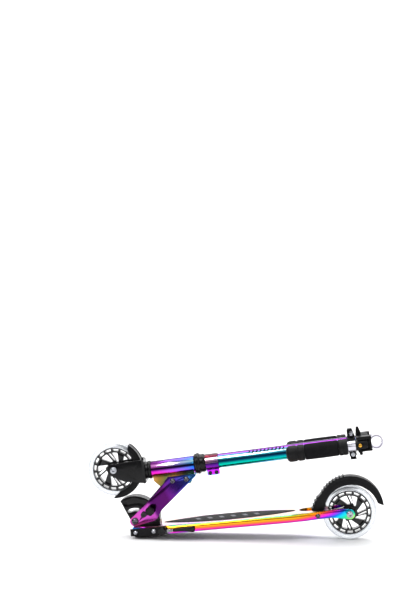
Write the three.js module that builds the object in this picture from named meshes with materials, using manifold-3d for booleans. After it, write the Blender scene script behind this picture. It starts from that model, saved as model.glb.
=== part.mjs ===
// Folding two-wheel kick scooter, shown folded.
// Millimetres, +Z up, +X towards the rear of the deck, the rider's left at -Y.
// The origin is on the floor under the middle of the folded scooter.
import * as THREE from "three";
import { mergeVertices } from "three/addons/utils/BufferGeometryUtils.js";
import Module from "manifold-3d";

const wasm = await Module();
wasm.setup();

// ---- Driving dimensions -------------------------------------------------

// Where the folded scooter sits
const REAR_AXLE = [252.43, 0, 60]; // centre of the rear wheel
const DECK_TILT = 6.06; // degrees, rear end up while the nose rests on the floor
const STEER_TILT = 8.16; // degrees, steering axis of the folded column
const FOLD_PIVOT = [-472.3, 25]; // folding axis seen from the rear axle, in the deck's frame
const PIVOT_IN_COLUMN = [-48.5, -106.3]; // the same axis in the column's frame

// Wheels
const TYRE_RADIUS = 60;
const TYRE_INNER = 48;
const TYRE_HALF_WIDTH = 12;
const CORE_RADIUS = 47.6;
const CORE_HALF_WIDTH = 9;
const WEB_HALF_WIDTH = 6.5; // thickness of the spokes, halved
const RIM_WINDOW = [40.8, 45.2]; // inner and outer radius of the small windows
const RIM_INNER = 37; // where the spokes meet the rim
const SPOKE_ROOT = 17.5; // where the spokes meet the hub
const BAR_ROOT = 20; // where the slit between two thin bars ends
const WAIST_RADIUS = 35; // the web is thinner inside this radius
const HUB_RADIUS = 12;
const HUB_HALF_WIDTH = 13.5;
const AXLE_RADIUS = 4;
const WINDOWS = 16;
const REAR_CORE_TURN = 15; // degrees

// Deck
const DECK_TOP = 13.5;
const DECK_BOTTOM = -4.5;
const DECK_EDGE = 5; // rounding of the rail edges
const DECK_NOSE = -480;
const WHEEL_SLOT = 20; // half width between the rear rails
const NARROW_SLOT = 24.2; // the same beside the wheel
const RAIL_END_FACE = 32; // outer face of the rails at the axle
const CHANNEL_DEPTH = 13; // hollow underside of the extrusion
const TAPE_THICKNESS = 0.8;
const TAPE_SPAN = [-410, -118];
const TAPE_HALF = 37;

// Folding block and side plates
const BLOCK_HALF = 17;
const BLOCK_RADIUS = 54.8;
const PLATE_INNER = 17.6;
const PLATE_OUTER = 21.6;
const SLOT_RADIUS = 24.3;
const SLOT_ANGLE = 32; // degrees, folded position of the slot bolt
const LOCK_RADIUS = 42.4;
const LOCK_ANGLE = 30; // degrees, folded position of the lock pin
const FOLD_TRAVEL = 85;
const BACKING_BOLTS = [["front", -470.5, 17], ["rear", -428, 24]]; // name, x, top of the shank
const PLATE_BOLTS = [["front", 46.5, -28.4], ["rear", 77, -28.4]]; // name and place in the column's frame

// Kickstand and brake
const STAND_PIVOT = [-412, 3];
const STAND_FACE = -48.6; // outer face of its bracket
const STAND_SCREWS = [["front", -470, -43.9, 16], ["rear", -430, -46.7, 19]]; // name, x, seat, length
const SCREW_HEIGHT = 4;
const BRAKE_PIVOT = [-69.5, 4.5];
const SHELL_CENTRE = [3.4, 8.3]; // the rear fender is not concentric with its wheel
const SHELL_OUTER = 72.4;
const SHELL_INNER = 69.8;
const SHELL_START = 144; // degrees, where the round part meets the flared foot
const SHELL_HALF = 16.8;
const CHEEK_INNER = 14.4;

// Column, measured along the steering axis from the foot of the head tube
const HEAD_TUBE = [2, 97.3];
const HEAD_TUBE_RADIUS = 18.5;
const CUP_BORE = 14.5;
const STEERER_RADIUS = 12.7;
const STEERER_END = 137;
const COLLAR = [123.5, 151.5];
const COLLAR_BOLTS = [["lower", 130.5], ["upper", 144.5]];
const COLLAR_BOLT_DROP = -23.4;
const OUTER_TUBE = [124, 457];
const OUTER_TUBE_RADIUS = 16;
const OUTER_TUBE_BORE = 14.2;
const INNER_TUBE_START = 141;
const INNER_TUBE_RADIUS = 13.6;
const HEIGHT_CLAMP = [438.5, 456.5];
const CLAMP_BOLT = [449.5, 24];
const CAM_PIN = [447.5, -22.6];
const BAR_STATION = 500.6; // T-tube centre
const BAR_RADIUS = 15;
const BAR_BORE = 11.6;
const BAR_HALF = 26;
const HOLDER = [458.2, 490];
const HOLDER_FLOOR = -14.6;
const HOLDER_TOP = 17.6;

// Fork and front fender
const FRONT_AXLE = [-79.5, 12];
const FENDER_INNER = 61.3;
const FENDER_OUTER = 63.3;
const LIP_INNER = 48.5;
const LEG_INNER = 17.6;
const LEG_OUTER = 25;

// Grips, stowed either side of the column
const GRIP_OFFSET = 38;
const GRIP_TUBE_RADIUS = 11.1;
const GRIP_END = -20; // inner end, measured from the T-tube centre
const GRIP_PLUG_LENGTH = 26;
const GRIP_COLLAR_END = -63;
const GRIP_LENGTH = 135;
const BUTTON_STATION = -36.4;
const FOAM_RADIUS = 17.6;

// Bolts and pins
const BOLT_HOLE = 3.3; // clearance radius of the 6 mm bolts and the brake pin
const SCREW_HOLE = 2.8; // the same for the kickstand's 5 mm screws
const BACKING_SHANK = 3;
const BACKING_HEAD = 5.4;
const FOLD_HOLE = 5.4;
const FOLD_BOLT_HEAD = 8;
const SLOT_HALF = 4.4; // half width of the curved slots
const PIN_HOLE = 4.3; // for the slot bolt and the lock pin in the plates
const BUTTON_HOLE_STEP = 17.4; // from the middle of the cross tube to its button holes

const GAP = 0.3; // between neighbouring pieces
const FAR = 60; // longer than any cut needs
const rad = THREE.MathUtils.degToRad;

// Facets round a circle: the count a smooth drawing would use, at most, and the count used here
const FACETS = [[6, 6], [16, 8], [28, 12], [40, 18], [Infinity, 24]];
const facets = (wanted) => FACETS.find(([limit]) => wanted <= limit)[1];

// ---- Looks ----------------------------------------------------------------

// Colour, roughness and metalness
const RAINBOW_DECK = [0xd89a4a, 0.22, 1];
const RAINBOW_PLATE = [0x7a3fa8, 0.2, 1];
const RAINBOW_GUSSET = [0x6d6a3c, 0.3, 1];
const RAINBOW_HEAD = [0xd23f9a, 0.18, 1];
const RAINBOW_COLLAR = [0x8a3fb0, 0.2, 1];
const RAINBOW_TUBE = [0x1ba6a6, 0.15, 1];
const SILVER = [0xb9b6c4, 0.2, 1];
const STEEL = [0x9a9da2, 0.3, 1];
const BRIGHT_STEEL = [0xc9ccd0, 0.3, 1];
const BLACK_STEEL = [0x1c1c1f, 0.35, 0.8];
const BLACK_METAL = [0x141416, 0.4, 0.5];
const BLACK_PLASTIC = [0x151517, 0.45, 0.1];
const FENDER_PLASTIC = [0x2a2b2e, 0.45, 0.2];
const GLOSS_PLASTIC = [0x0d0d10, 0.25, 0];
const CLEAR_TYRE = [0xe9ebee, 0.15, 0];
const RUBBER = [0x1b1b1e, 0.6, 0];
const FOAM = [0x1b1b1e, 0.9, 0];
const GRIT = [0x0c0c0e, 0.95, 0];
const BRASS = [0xc9973a, 0.25, 1];

// ---- Solids ---------------------------------------------------------------

function toSolid(geometry) {
  const bare = geometry.index ? geometry.toNonIndexed() : geometry.clone();
  bare.deleteAttribute("normal");
  bare.deleteAttribute("uv");
  const merged = mergeVertices(bare, 1e-4);
  const vertProperties = new Float32Array(merged.attributes.position.array);
  const build = (index) => {
    const triVerts = new Uint32Array(index);
    return new wasm.Manifold(new wasm.Mesh({ numProp: 3, vertProperties, triVerts }));
  };
  const faces = [];
  const source = merged.index.array;
  for (let i = 0; i < source.length; i += 3) {
    const [a, b, c] = [source[i], source[i + 1], source[i + 2]];
    if (a !== b && b !== c && c !== a) faces.push(a, b, c);
  }
  const solid = build(faces);
  if (solid.volume() > 0) return solid;
  for (let i = 0; i < faces.length; i += 3) {
    [faces[i], faces[i + 1]] = [faces[i + 1], faces[i]];
  }
  return build(faces);
}

const join = (...solids) => solids.reduce((a, b) => a.add(b));
const cut = (solid, ...tools) => tools.reduce((a, b) => a.subtract(b), solid);

// Box between two corners
function box(x0, x1, y0, y1, z0, z1) {
  const g = new THREE.BoxGeometry(x1 - x0, y1 - y0, z1 - z0);
  g.translate((x0 + x1) / 2, (y0 + y1) / 2, (z0 + z1) / 2);
  return toSolid(g);
}

// Cylinder along y from y0 to y1, centred on (x, z)
function rodY(radius, y0, y1, [x, z] = [0, 0], segments = 20) {
  const g = new THREE.CylinderGeometry(radius, radius, y1 - y0, facets(segments));
  g.translate(x, (y0 + y1) / 2, z);
  return toSolid(g);
}

// Cylinder along x from x0 to x1, at y
function rodX(radius, x0, x1, y = 0, segments = 32) {
  const g = new THREE.CylinderGeometry(radius, radius, x1 - x0, facets(segments));
  g.rotateZ(-Math.PI / 2);
  g.translate((x0 + x1) / 2, y, 0);
  return toSolid(g);
}

// Cylinder along z from z0 to z1, centred on (x, y)
function rodZ(radius, z0, z1, x, y = 0, segments = 16) {
  const g = new THREE.CylinderGeometry(radius, radius, z1 - z0, facets(segments));
  g.rotateX(Math.PI / 2);
  g.translate(x, y, (z0 + z1) / 2);
  return toSolid(g);
}

const tubeX = (outer, inner, x0, x1, y = 0, segments = 32) =>
  cut(rodX(outer, x0, x1, y, segments), rodX(inner, x0 - 1, x1 + 1, y, segments));
const tubeY = (outer, inner, y0, y1, at = [0, 0], segments = 24) =>
  cut(rodY(outer, y0, y1, at, segments), rodY(inner, y0 - 1, y1 + 1, at, segments));

// Solid of revolution about y from a closed [radius, y] profile
function turnY(profile, segments = 24) {
  const points = profile.map(([r, y]) => new THREE.Vector2(r, y));
  points.push(points[0].clone());
  return toSolid(new THREE.LatheGeometry(points, facets(segments)));
}

// Solid of revolution about x from a closed [radius, x] profile, axis at y
function turnX(profile, y = 0) {
  const points = profile.map(([r, x]) => new THREE.Vector2(r, x));
  points.push(points[0].clone());
  const g = new THREE.LatheGeometry(points, facets(32));
  g.rotateZ(-Math.PI / 2);
  g.translate(0, y, 0);
  return toSolid(g);
}

// Outline in x and z pushed along y
function slabY(outline, y0, y1) {
  const shape = new THREE.Shape(outline.map(([x, z]) => new THREE.Vector2(x, z)));
  const g = new THREE.ExtrudeGeometry(shape, { depth: y1 - y0, bevelEnabled: false });
  g.rotateX(Math.PI / 2);
  g.translate(0, y1, 0);
  return toSolid(g);
}

// Outline in x and y pushed up z, optionally with rounded edges
function slabZ(outline, z0, z1, edge = 0) {
  const shape = new THREE.Shape(outline.map(([x, y]) => new THREE.Vector2(x, y)));
  const g = new THREE.ExtrudeGeometry(shape, {
    depth: z1 - z0 - 2 * edge,
    bevelEnabled: edge > 0,
    bevelThickness: edge,
    bevelSize: edge,
    bevelOffset: -edge,
    bevelSegments: 2,
  });
  g.translate(0, 0, z0 + edge);
  return toSolid(g);
}

const polar = ([cx, cz], radius, angle) => [
  cx + radius * Math.cos(rad(angle)),
  cz + radius * Math.sin(rad(angle)),
];

// Points of an arc in degrees
function arc(centre, radius, from, to, steps) {
  const points = [];
  for (let i = 0; i <= steps; i++) {
    points.push(polar(centre, radius, from + ((to - from) * i) / steps));
  }
  return points;
}

// Curved slot with round ends, as an outline
function slotOutline(centre, radius, half, from, to) {
  const end = (angle, start) =>
    arc(polar(centre, radius, angle), half, start, start + 180, 6).slice(1, -1);
  return [
    ...arc(centre, radius + half, from, to, 8),
    ...end(to, to),
    ...arc(centre, radius - half, to, from, 8),
    ...end(from, from + 180),
  ];
}

// The same solid on both sides of the middle plane
const bothSides = (solid) => join(solid, solid.mirror([0, 1, 0]));

const HEX = 6;
const hexY = (acrossFlats, y0, y1, at) => rodY(acrossFlats / Math.sqrt(3), y0, y1, at, HEX);

// Hexagon socket sunk in a head whose face is at y0 and looks along -Y
const socket = (radius, y0, depth) => rodY(radius, y0 - 1, y0 + depth, [0, 0], HEX);

// Bolt along y with a low head at both ends and a socket in the left one
function twoHeadedBolt([x, z], half, headRadius, headHeight, shank, socketRadius) {
  const head = turnY([
    [0, half],
    [headRadius, half],
    [headRadius, half + headHeight * 0.6],
    [headRadius * 0.74, half + headHeight],
    [0, half + headHeight],
  ]);
  const body = join(bothSides(head), rodY(shank, -half - 1, half + 1));
  return cut(body, socket(socketRadius, -half - headHeight, headHeight * 0.5)).translate(x, 0, z);
}

const root = new THREE.Group();

function frame(parent, position, tilt) {
  const group = new THREE.Group();
  group.position.set(...position);
  group.rotation.y = -rad(tilt);
  parent.add(group);
  return group;
}

function piece(group, name, solid, [color, roughness, metalness]) {
  const { numProp, vertProperties, triVerts } = solid.getMesh();
  const position = new Float32Array((vertProperties.length / numProp) * 3);
  for (let i = 0; i < position.length / 3; i++) {
    for (let k = 0; k < 3; k++) position[3 * i + k] = vertProperties[numProp * i + k];
  }
  const geometry = new THREE.BufferGeometry();
  geometry.setAttribute("position", new THREE.BufferAttribute(position, 3));
  geometry.setIndex(new THREE.BufferAttribute(new Uint32Array(triVerts), 1));
  geometry.computeVertexNormals();
  const material = new THREE.MeshStandardMaterial({ color, roughness, metalness });
  const mesh = new THREE.Mesh(geometry, material);
  mesh.name = name;
  group.add(mesh);
}

// ---- Wheels ---------------------------------------------------------------

// Spoked core: a rim pierced by windows, four pairs of thin bars and four swept spokes
function wheelCore() {
  const hubCentre = [0, 0];
  const openings = [];
  const pierce = (outer, inner) => openings.push(slabY([...outer, ...inner], -FAR, FAR));
  const step = 360 / WINDOWS;
  const [windowInner, windowOuter] = RIM_WINDOW;
  for (let i = 0; i < WINDOWS; i++) {
    const a = i * step;
    const outer = arc(hubCentre, windowOuter, a + 3, a + step - 3, 1);
    const inner = arc(hubCentre, windowInner, a + step - 3.4, a + 3.4, 1);
    pierce(outer, inner);
  }
  for (let a = 0; a < 360; a += 90) {
    const atRim = (from, to, steps) => arc(hubCentre, RIM_INNER, a + from, a + to, steps);
    const atRoot = (from, to, steps) => arc(hubCentre, SPOKE_ROOT, a + from, a + to, steps);
    pierce(atRim(20, 46, 3), atRoot(22, 4, 2)); // before the swept spoke
    pierce(atRim(72, 93, 2), atRoot(66, 52, 1)); // after it
    pierce(atRim(98, 105, 1), arc(hubCentre, BAR_ROOT, a + 86, a + 74, 1)); // between the thin bars
  }
  const waist = rodY(WAIST_RADIUS, WEB_HALF_WIDTH, CORE_HALF_WIDTH + 1);
  const blank = rodY(CORE_RADIUS, -CORE_HALF_WIDTH, CORE_HALF_WIDTH, hubCentre, 48);
  const disc = cut(blank, bothSides(waist), ...openings);
  const hub = rodY(HUB_RADIUS, -HUB_HALF_WIDTH, HUB_HALF_WIDTH);
  return cut(join(disc, hub), rodY(AXLE_RADIUS + GAP, -FAR, FAR));
}

function tyre() {
  const half = TYRE_HALF_WIDTH;
  const side = [
    [59.3, 4.6],
    [56.4, 9.2],
    [51.8, half],
    [TYRE_INNER + 1.5, half],
    [TYRE_INNER, half - 2],
  ];
  const otherSide = side.map(([r, y]) => [r, -y]).reverse();
  return turnY([...otherSide, [TYRE_RADIUS, 0], ...side], 48);
}

// Axle bolt along y with a domed head at the left and a nut at the right
function axle(half) {
  const top = -half - 4.5;
  const head = turnY([[0, top], [5, top], [7.5, top + 2], [7.5, -half], [0, -half]]);
  const nut = join(hexY(13, half, half + 5, [0, 0]), rodY(AXLE_RADIUS, half, half + 6.5));
  const shank = rodY(AXLE_RADIUS, -half - 1, half + 1);
  return cut(join(head, shank, nut), socket(3, top, 2.5));
}

// ---- Deck group -----------------------------------------------------------

const deck = frame(root, REAR_AXLE, DECK_TILT);

// Half width of the deck along its length
const PLAN = [
  [DECK_NOSE, 28],
  [-476, 33],
  [-462, 39.5],
  [-444, 45],
  [-420, 48.5],
  [-385, 50],
  [-130, 50],
  [-100, 47.5],
  [-74, 41],
  [-50, 36],
  [-20, 33],
  [-8, 33],
];

// Rear end of a rail, seen from the side: it tapers and rounds off about the axle
const RAIL_END = [
  ...arc([0, 0], 11, 78, -108, 8),
  [-14, -8.6],
  [-26, -6.2],
  [-40, DECK_BOTTOM],
  [-40, 12],
  [-12, 12.4],
];

function deckPlatform() {
  const leftEdge = PLAN.map(([x, y]) => [x, -y]);
  const slab = slabZ([...leftEdge, ...[...PLAN].reverse()], DECK_BOTTOM, DECK_TOP, DECK_EDGE);
  const dropout = slabY(RAIL_END, NARROW_SLOT, RAIL_END_FACE);
  return cut(
    join(slab, bothSides(dropout)),
    box(-90, 30, -WHEEL_SLOT, WHEEL_SLOT, -20, 30),
    box(-72, 30, -NARROW_SLOT, NARROW_SLOT, -20, 30),
    rodZ(WHEEL_SLOT, -20, 30, -90, 0, 28),
    bothSides(box(-400, -130, 12, 40, DECK_BOTTOM - 1, DECK_BOTTOM + CHANNEL_DEPTH)),
    box(-486, -398, -FAR, -40.8, -20, 30), // seat of the kickstand bracket
    box(-400, -328, -FAR, -46.4, -20, 8.6), // recess for the kickstand leg
    ...BACKING_BOLTS.map(([, x]) => rodZ(BOLT_HOLE, -20, 30, x)),
    ...STAND_SCREWS.map(([, x]) => rodY(SCREW_HOLE, -FAR, -24, [x, SCREW_HEIGHT], 16)),
    rodY(BOLT_HOLE, -FAR, FAR, BRAKE_PIVOT, 16),
    rodY(AXLE_RADIUS + GAP, -FAR, FAR)
  );
}
piece(deck, "deck_platform", deckPlatform(), RAINBOW_DECK);

// A long pointed lens
function gripTape() {
  const [x0, x1] = TAPE_SPAN;
  const steps = 24;
  const edge = [];
  for (let i = 0; i <= steps; i++) {
    const s = i / steps;
    edge.push([x0 + (x1 - x0) * s, -TAPE_HALF * Math.sin(Math.PI * s) ** 0.75]);
  }
  const otherEdge = edge.slice(1, -1).reverse().map(([x, y]) => [x, -y]);
  const underside = DECK_TOP + 0.1;
  return slabZ([...edge, ...otherEdge], underside, underside + TAPE_THICKNESS);
}
piece(deck, "grip_tape", gripTape(), GRIT);

// A quadrant plate standing on a foot, with a travel slot and a lock track
function foldingBlock() {
  const foot = DECK_TOP + GAP;
  const outline = [
    [-478.5, foot],
    [-417, foot],
    [-417, 35],
    ...arc(FOLD_PIVOT, BLOCK_RADIUS, 13, 119, 12),
    [-501, 71],
    [-498.5, 66],
    [-482, 27],
  ];
  const trackSpan = [LOCK_ANGLE, LOCK_ANGLE + FOLD_TRAVEL];
  const travelSpan = [SLOT_ANGLE, SLOT_ANGLE + FOLD_TRAVEL];
  const track = slotOutline(FOLD_PIVOT, LOCK_RADIUS, SLOT_HALF, ...trackSpan);
  const travel = slotOutline(FOLD_PIVOT, SLOT_RADIUS, SLOT_HALF, ...travelSpan);
  const face = -BLOCK_HALF - 1;
  return cut(
    slabY(outline, -BLOCK_HALF, BLOCK_HALF),
    rodY(FOLD_HOLE, -FAR, FAR, FOLD_PIVOT),
    slabY(travel, -FAR, FAR),
    slabY(track, face, -BLOCK_HALF + 1.5),
    ...trackSpan.map((angle) => rodY(SLOT_HALF, face, -7, polar(FOLD_PIVOT, LOCK_RADIUS, angle))),
    ...BACKING_BOLTS.map(([, x, top]) => rodZ(BOLT_HOLE, -20, top + 1, x))
  );
}
piece(deck, "folding_block", foldingBlock(), BLACK_METAL);

// Plate under the deck nose; its two bolts go up into the folding block
const plateTop = DECK_BOTTOM - GAP;
function backingPlate() {
  const half = [[-476, 22], [-470, 28], [-424, 28], [-416, 20]];
  const otherHalf = half.map(([x, y]) => [x, -y]).reverse();
  const seats = BACKING_BOLTS.map(([, x]) =>
    join(rodZ(BOLT_HOLE, -20, 20, x), rodZ(6, -20, plateTop - 1.6, x, 0, 20))
  );
  return cut(slabZ([...otherHalf, ...half], plateTop - 5, plateTop), ...seats);
}
piece(deck, "block_backing_plate", backingPlate(), BLACK_METAL);
for (const [which, x, top] of BACKING_BOLTS) {
  const head = rodZ(BACKING_HEAD, plateTop - 4.9, plateTop - 1.9, x, 0, 20);
  const key = rodZ(2.4, plateTop - 6, plateTop - 3.4, x, 0, HEX);
  const bolt = cut(join(head, rodZ(BACKING_SHANK, plateTop - 3, top, x)), key);
  piece(deck, `backing_bolt_${which}`, bolt, BLACK_STEEL);
}

const foldBolt = twoHeadedBolt(FOLD_PIVOT, PLATE_OUTER + GAP, FOLD_BOLT_HEAD, 4.6, 5, 3);
piece(deck, "fold_pivot_bolt", foldBolt, STEEL);

// Kickstand bracket in the left rail, with its two screws
function standBracket() {
  const outline = [
    [-482, -41.1],
    [-480, -43.5],
    [-470, -47],
    [-458, STAND_FACE],
    [-404, STAND_FACE],
    [-404, -41.1],
  ];
  const holes = STAND_SCREWS.map(([, x, seat]) => {
    const at = [x, SCREW_HEIGHT];
    return join(rodY(SCREW_HOLE, -FAR, -30, at, 16), rodY(6, -FAR, seat + GAP, at));
  });
  return cut(slabZ(outline, -3.4, 12.2), ...holes, rodY(3.2, -FAR, -30, STAND_PIVOT));
}
piece(deck, "kickstand_bracket", standBracket(), BLACK_PLASTIC);

const SCREW_HEAD = [5.4, 3.2]; // radius and height
for (const [which, x, seat, length] of STAND_SCREWS) {
  const [radius, height] = SCREW_HEAD;
  const top = seat - height;
  const dome = turnY([[0, top], [radius * 0.7, top], [radius, seat - 1.3], [radius, seat], [0, seat]]);
  const shank = rodY(2.5, seat - 0.5, seat + length, [0, 0], 16);
  const screw = cut(join(dome, shank), socket(2.3, top, height * 0.6));
  piece(deck, `kickstand_screw_${which}`, screw.translate(x, 0, SCREW_HEIGHT), BRIGHT_STEEL);
}

// Leg: an eye on the bracket, a round shaft for the spring and a flat foot
const legFace = STAND_FACE - GAP;
const shaftY = legFace - 2.7;
function standLeg() {
  const [x, z] = STAND_PIVOT;
  const eye = rodY(8, legFace - 6.4, legFace, STAND_PIVOT, 28);
  const pin = rodY(2.9, legFace - 1, -42, STAND_PIVOT);
  const shaft = rodX(2.4, x + 4, -372, shaftY, 16).translate(0, 0, z);
  const outline = [
    [-386, z - 3.4],
    [-384, z + 3.4],
    [-352, z + 4.6],
    [-340, z + 5.4],
    [-339, z - 7.4],
    [-352, z - 5.4],
  ];
  return join(eye, pin, shaft, slabY(outline, legFace - 6.2, legFace - 0.4));
}
piece(deck, "kickstand_leg", standLeg(), BLACK_METAL);

const SPRING = { start: -400.5, length: 13.4, radius: 3.3, turns: 5, wire: 0.85 };
class Coil extends THREE.Curve {
  getPoint(t) {
    const a = t * SPRING.turns * 2 * Math.PI;
    const x = SPRING.start + SPRING.length * t;
    const [, z] = STAND_PIVOT;
    return new THREE.Vector3(x, shaftY + SPRING.radius * Math.cos(a), z + SPRING.radius * Math.sin(a));
  }
}
function standSpring() {
  const wire = new THREE.Shape();
  wire.absarc(0, 0, SPRING.wire, 0, 2 * Math.PI, false);
  const path = new Coil();
  const settings = { steps: 40, curveSegments: 2, extrudePath: path, bevelEnabled: false };
  return toSolid(new THREE.ExtrudeGeometry(wire, settings));
}
piece(deck, "kickstand_spring", standSpring(), BRIGHT_STEEL);

// Rear fender doubling as the brake: ribbed shell on a flared foot, two deep cheeks and a pad
function brakeFender() {
  const flare = [[-81.5, 12], [-75.5, 25.5], [-66.5, 39.5]];
  const innerFlare = [[-64.6, 37.8], [-73.2, 24.6], [-78.6, 12]];
  const shell = slabY(
    [
      ...flare,
      ...arc(SHELL_CENTRE, SHELL_OUTER, SHELL_START, 0, 16),
      ...arc(SHELL_CENTRE, SHELL_INNER, 0, SHELL_START, 16),
      ...innerFlare,
    ],
    -SHELL_HALF,
    SHELL_HALF
  );
  const cheek = slabY(
    [
      ...flare,
      ...arc(SHELL_CENTRE, SHELL_OUTER - 0.4, SHELL_START, 2, 14),
      ...arc([4.5, 1.5], 60, 14, 165, 10),
      [-62, -2.5],
      [-74, -3],
      [-81, 3],
    ],
    CHEEK_INNER,
    SHELL_HALF
  );
  const ribs = [];
  for (let angle = SHELL_START; angle > 92; angle -= 6.6) {
    ribs.push(rodY(1.7, -15.5, 15.5, polar(SHELL_CENTRE, SHELL_OUTER + 0.6, angle), HEX));
  }
  const pad = slabY([...arc(SHELL_CENTRE, 71, 76, 42, 5), ...arc([0, 0], 62.8, 46, 74, 5)], -9, 9);
  const padded = join(shell, bothSides(cheek), pad, ...ribs);
  return cut(padded, rodY(BOLT_HOLE + 0.1, -FAR, FAR, BRAKE_PIVOT, 16));
}
piece(deck, "brake_fender", brakeFender(), FENDER_PLASTIC);
piece(deck, "brake_pivot_pin", twoHeadedBolt(BRAKE_PIVOT, 43.4, 5.2, 2.6, 3, 2.2), STEEL);

function brakeSpring() {
  const [x, z] = BRAKE_PIVOT;
  const coil = tubeY(6.4, 3.5, -10, 10, BRAKE_PIVOT, 20);
  return join(coil, box(x - 22, x - 4.2, -7.5, -5.5, z + 2.6, z + 4.6));
}
piece(deck, "brake_spring", brakeSpring(), BRIGHT_STEEL);

// Rear wheel
const spacer = tubeY(7, AXLE_RADIUS + GAP, HUB_HALF_WIDTH + GAP, 23.9);
piece(deck, "rear_axle_bolt", axle(32.4), STEEL);
piece(deck, "rear_spacer_left", spacer.mirror([0, 1, 0]), STEEL);
piece(deck, "rear_spacer_right", spacer, STEEL);
piece(deck, "rear_wheel_core", wheelCore().rotate([0, REAR_CORE_TURN, 0]), GLOSS_PLASTIC);
piece(deck, "rear_wheel_tyre", tyre(), CLEAR_TYRE);

// ---- Column group -----------------------------------------------------------

// A point seen from a frame tilted by degrees, turned into world directions
function level([x, z], degrees) {
  const a = rad(degrees);
  return [x * Math.cos(a) - z * Math.sin(a), x * Math.sin(a) + z * Math.cos(a)];
}
const [pivotX, pivotZ] = level(FOLD_PIVOT, DECK_TILT);
const [backX, backZ] = level(PIVOT_IN_COLUMN, STEER_TILT);
const headFoot = [REAR_AXLE[0] + pivotX - backX, 0, REAR_AXLE[2] + pivotZ - backZ];
const column = frame(root, headFoot, STEER_TILT);

// A position on the folding block, seen in the column's frame
const onBlock = (radius, angle) => polar(PIVOT_IN_COLUMN, radius, angle - STEER_TILT + DECK_TILT);
const slotBoltAt = onBlock(SLOT_RADIUS, SLOT_ANGLE);
const lockPinAt = onBlock(LOCK_RADIUS, LOCK_ANGLE);

// Side plate from the fold axis up to the head tube
function sidePlate(y0, y1) {
  const outline = [
    ...arc(PIVOT_IN_COLUMN, 11, 130, 262, 8),
    [-6, -110.5],
    [5, -102],
    [14, -89],
    [98.5, -24],
    [99.5, -20.5],
    [94.5, -19.2],
    [36, -19.2],
    [24, -33],
    [-20, -72],
  ];
  return cut(
    slabY(outline, y0, y1),
    rodY(FOLD_HOLE, -FAR, FAR, PIVOT_IN_COLUMN),
    rodY(PIN_HOLE, -FAR, FAR, slotBoltAt),
    ...PLATE_BOLTS.map(([, x, z]) => rodY(BOLT_HOLE, -FAR, FAR, [x, z], 16))
  );
}
const leftPlate = cut(sidePlate(-PLATE_OUTER, -PLATE_INNER), rodY(PIN_HOLE, -FAR, 0, lockPinAt));
piece(column, "side_plate_left", leftPlate, RAINBOW_PLATE);
piece(column, "side_plate_right", sidePlate(PLATE_INNER, PLATE_OUTER), RAINBOW_PLATE);
for (const [which, x, z] of PLATE_BOLTS) {
  const bolt = twoHeadedBolt([x, z], PLATE_OUTER + GAP, 6, 3.4, 3, 2.4);
  piece(column, `plate_bolt_${which}`, bolt, STEEL);
}
const slotBoltHead = rodY(6, PLATE_OUTER + GAP, PLATE_OUTER + GAP + 3.6, slotBoltAt, 24);
const slotBoltShank = rodY(4, -PLATE_OUTER - 1, PLATE_OUTER + 1, slotBoltAt);
piece(column, "slot_bolt", join(bothSides(slotBoltHead), slotBoltShank), BLACK_STEEL);

// Lock pin with a fluted knob; its tip stands in the shallow track
function lockPin() {
  const flutes = [];
  for (let angle = 0; angle < 360; angle += 60) {
    flutes.push(rodY(2.2, -40, -20, polar([0, 0], 10.8, angle), 8));
  }
  const knob = cut(
    turnY([[0, -37.4], [8, -37.4], [10, -35.8], [10, -30.4], [8.6, -28.8], [0, -28.8]]),
    ...flutes,
    rodY(5.2, -39, -36.4)
  );
  const [x, z] = lockPinAt;
  return join(knob, rodY(3.9, -30, -BLOCK_HALF + 0.9)).translate(x, 0, z);
}
piece(column, "lock_pin_knob", lockPin(), BLACK_METAL);

// Head tube, gusset and headset
piece(column, "head_tube", tubeX(HEAD_TUBE_RADIUS, CUP_BORE, ...HEAD_TUBE), RAINBOW_HEAD);

function neckGusset() {
  const outline = [[4, -12], [96, -12], [96, -22], [86, -38], [34, -46], [20, -40], [5, -24]];
  return cut(
    slabY(outline, -PLATE_INNER + GAP, PLATE_INNER - GAP),
    rodX(HEAD_TUBE_RADIUS + GAP, -20, 120, 0, 48),
    ...PLATE_BOLTS.map(([, x, z]) => rodY(BOLT_HOLE, -FAR, FAR, [x, z], 16))
  );
}
piece(column, "neck_gusset", neckGusset(), RAINBOW_GUSSET);

const cupFoot = HEAD_TUBE[1] + GAP;
const nutFoot = cupFoot + 7;
const lowerCup = [
  [CUP_BORE, -5.2],
  [19.5, -5.2],
  [20.5, -3.6],
  [20.5, -0.5],
  [HEAD_TUBE_RADIUS, 1.7],
  [CUP_BORE, 1.7],
];
const upperCup = [
  [CUP_BORE, cupFoot],
  [HEAD_TUBE_RADIUS, cupFoot],
  [21, cupFoot + 1.7],
  [22.5, cupFoot + 4.2],
  [22.5, cupFoot + 6.7],
  [CUP_BORE, cupFoot + 6.7],
];
const topNut = [
  [13, nutFoot],
  [23.5, nutFoot],
  [23.5, nutFoot + 3.7],
  [20.5, nutFoot + 7.2],
  [20.5, nutFoot + 14.5],
  [18, nutFoot + 18],
  [13, nutFoot + 18],
];
piece(column, "headset_lower_cup", turnX(lowerCup), BLACK_METAL);
piece(column, "headset_upper_cup", turnX(upperCup), BLACK_METAL);
piece(column, "headset_top_nut", turnX(topNut), BLACK_METAL);

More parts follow.
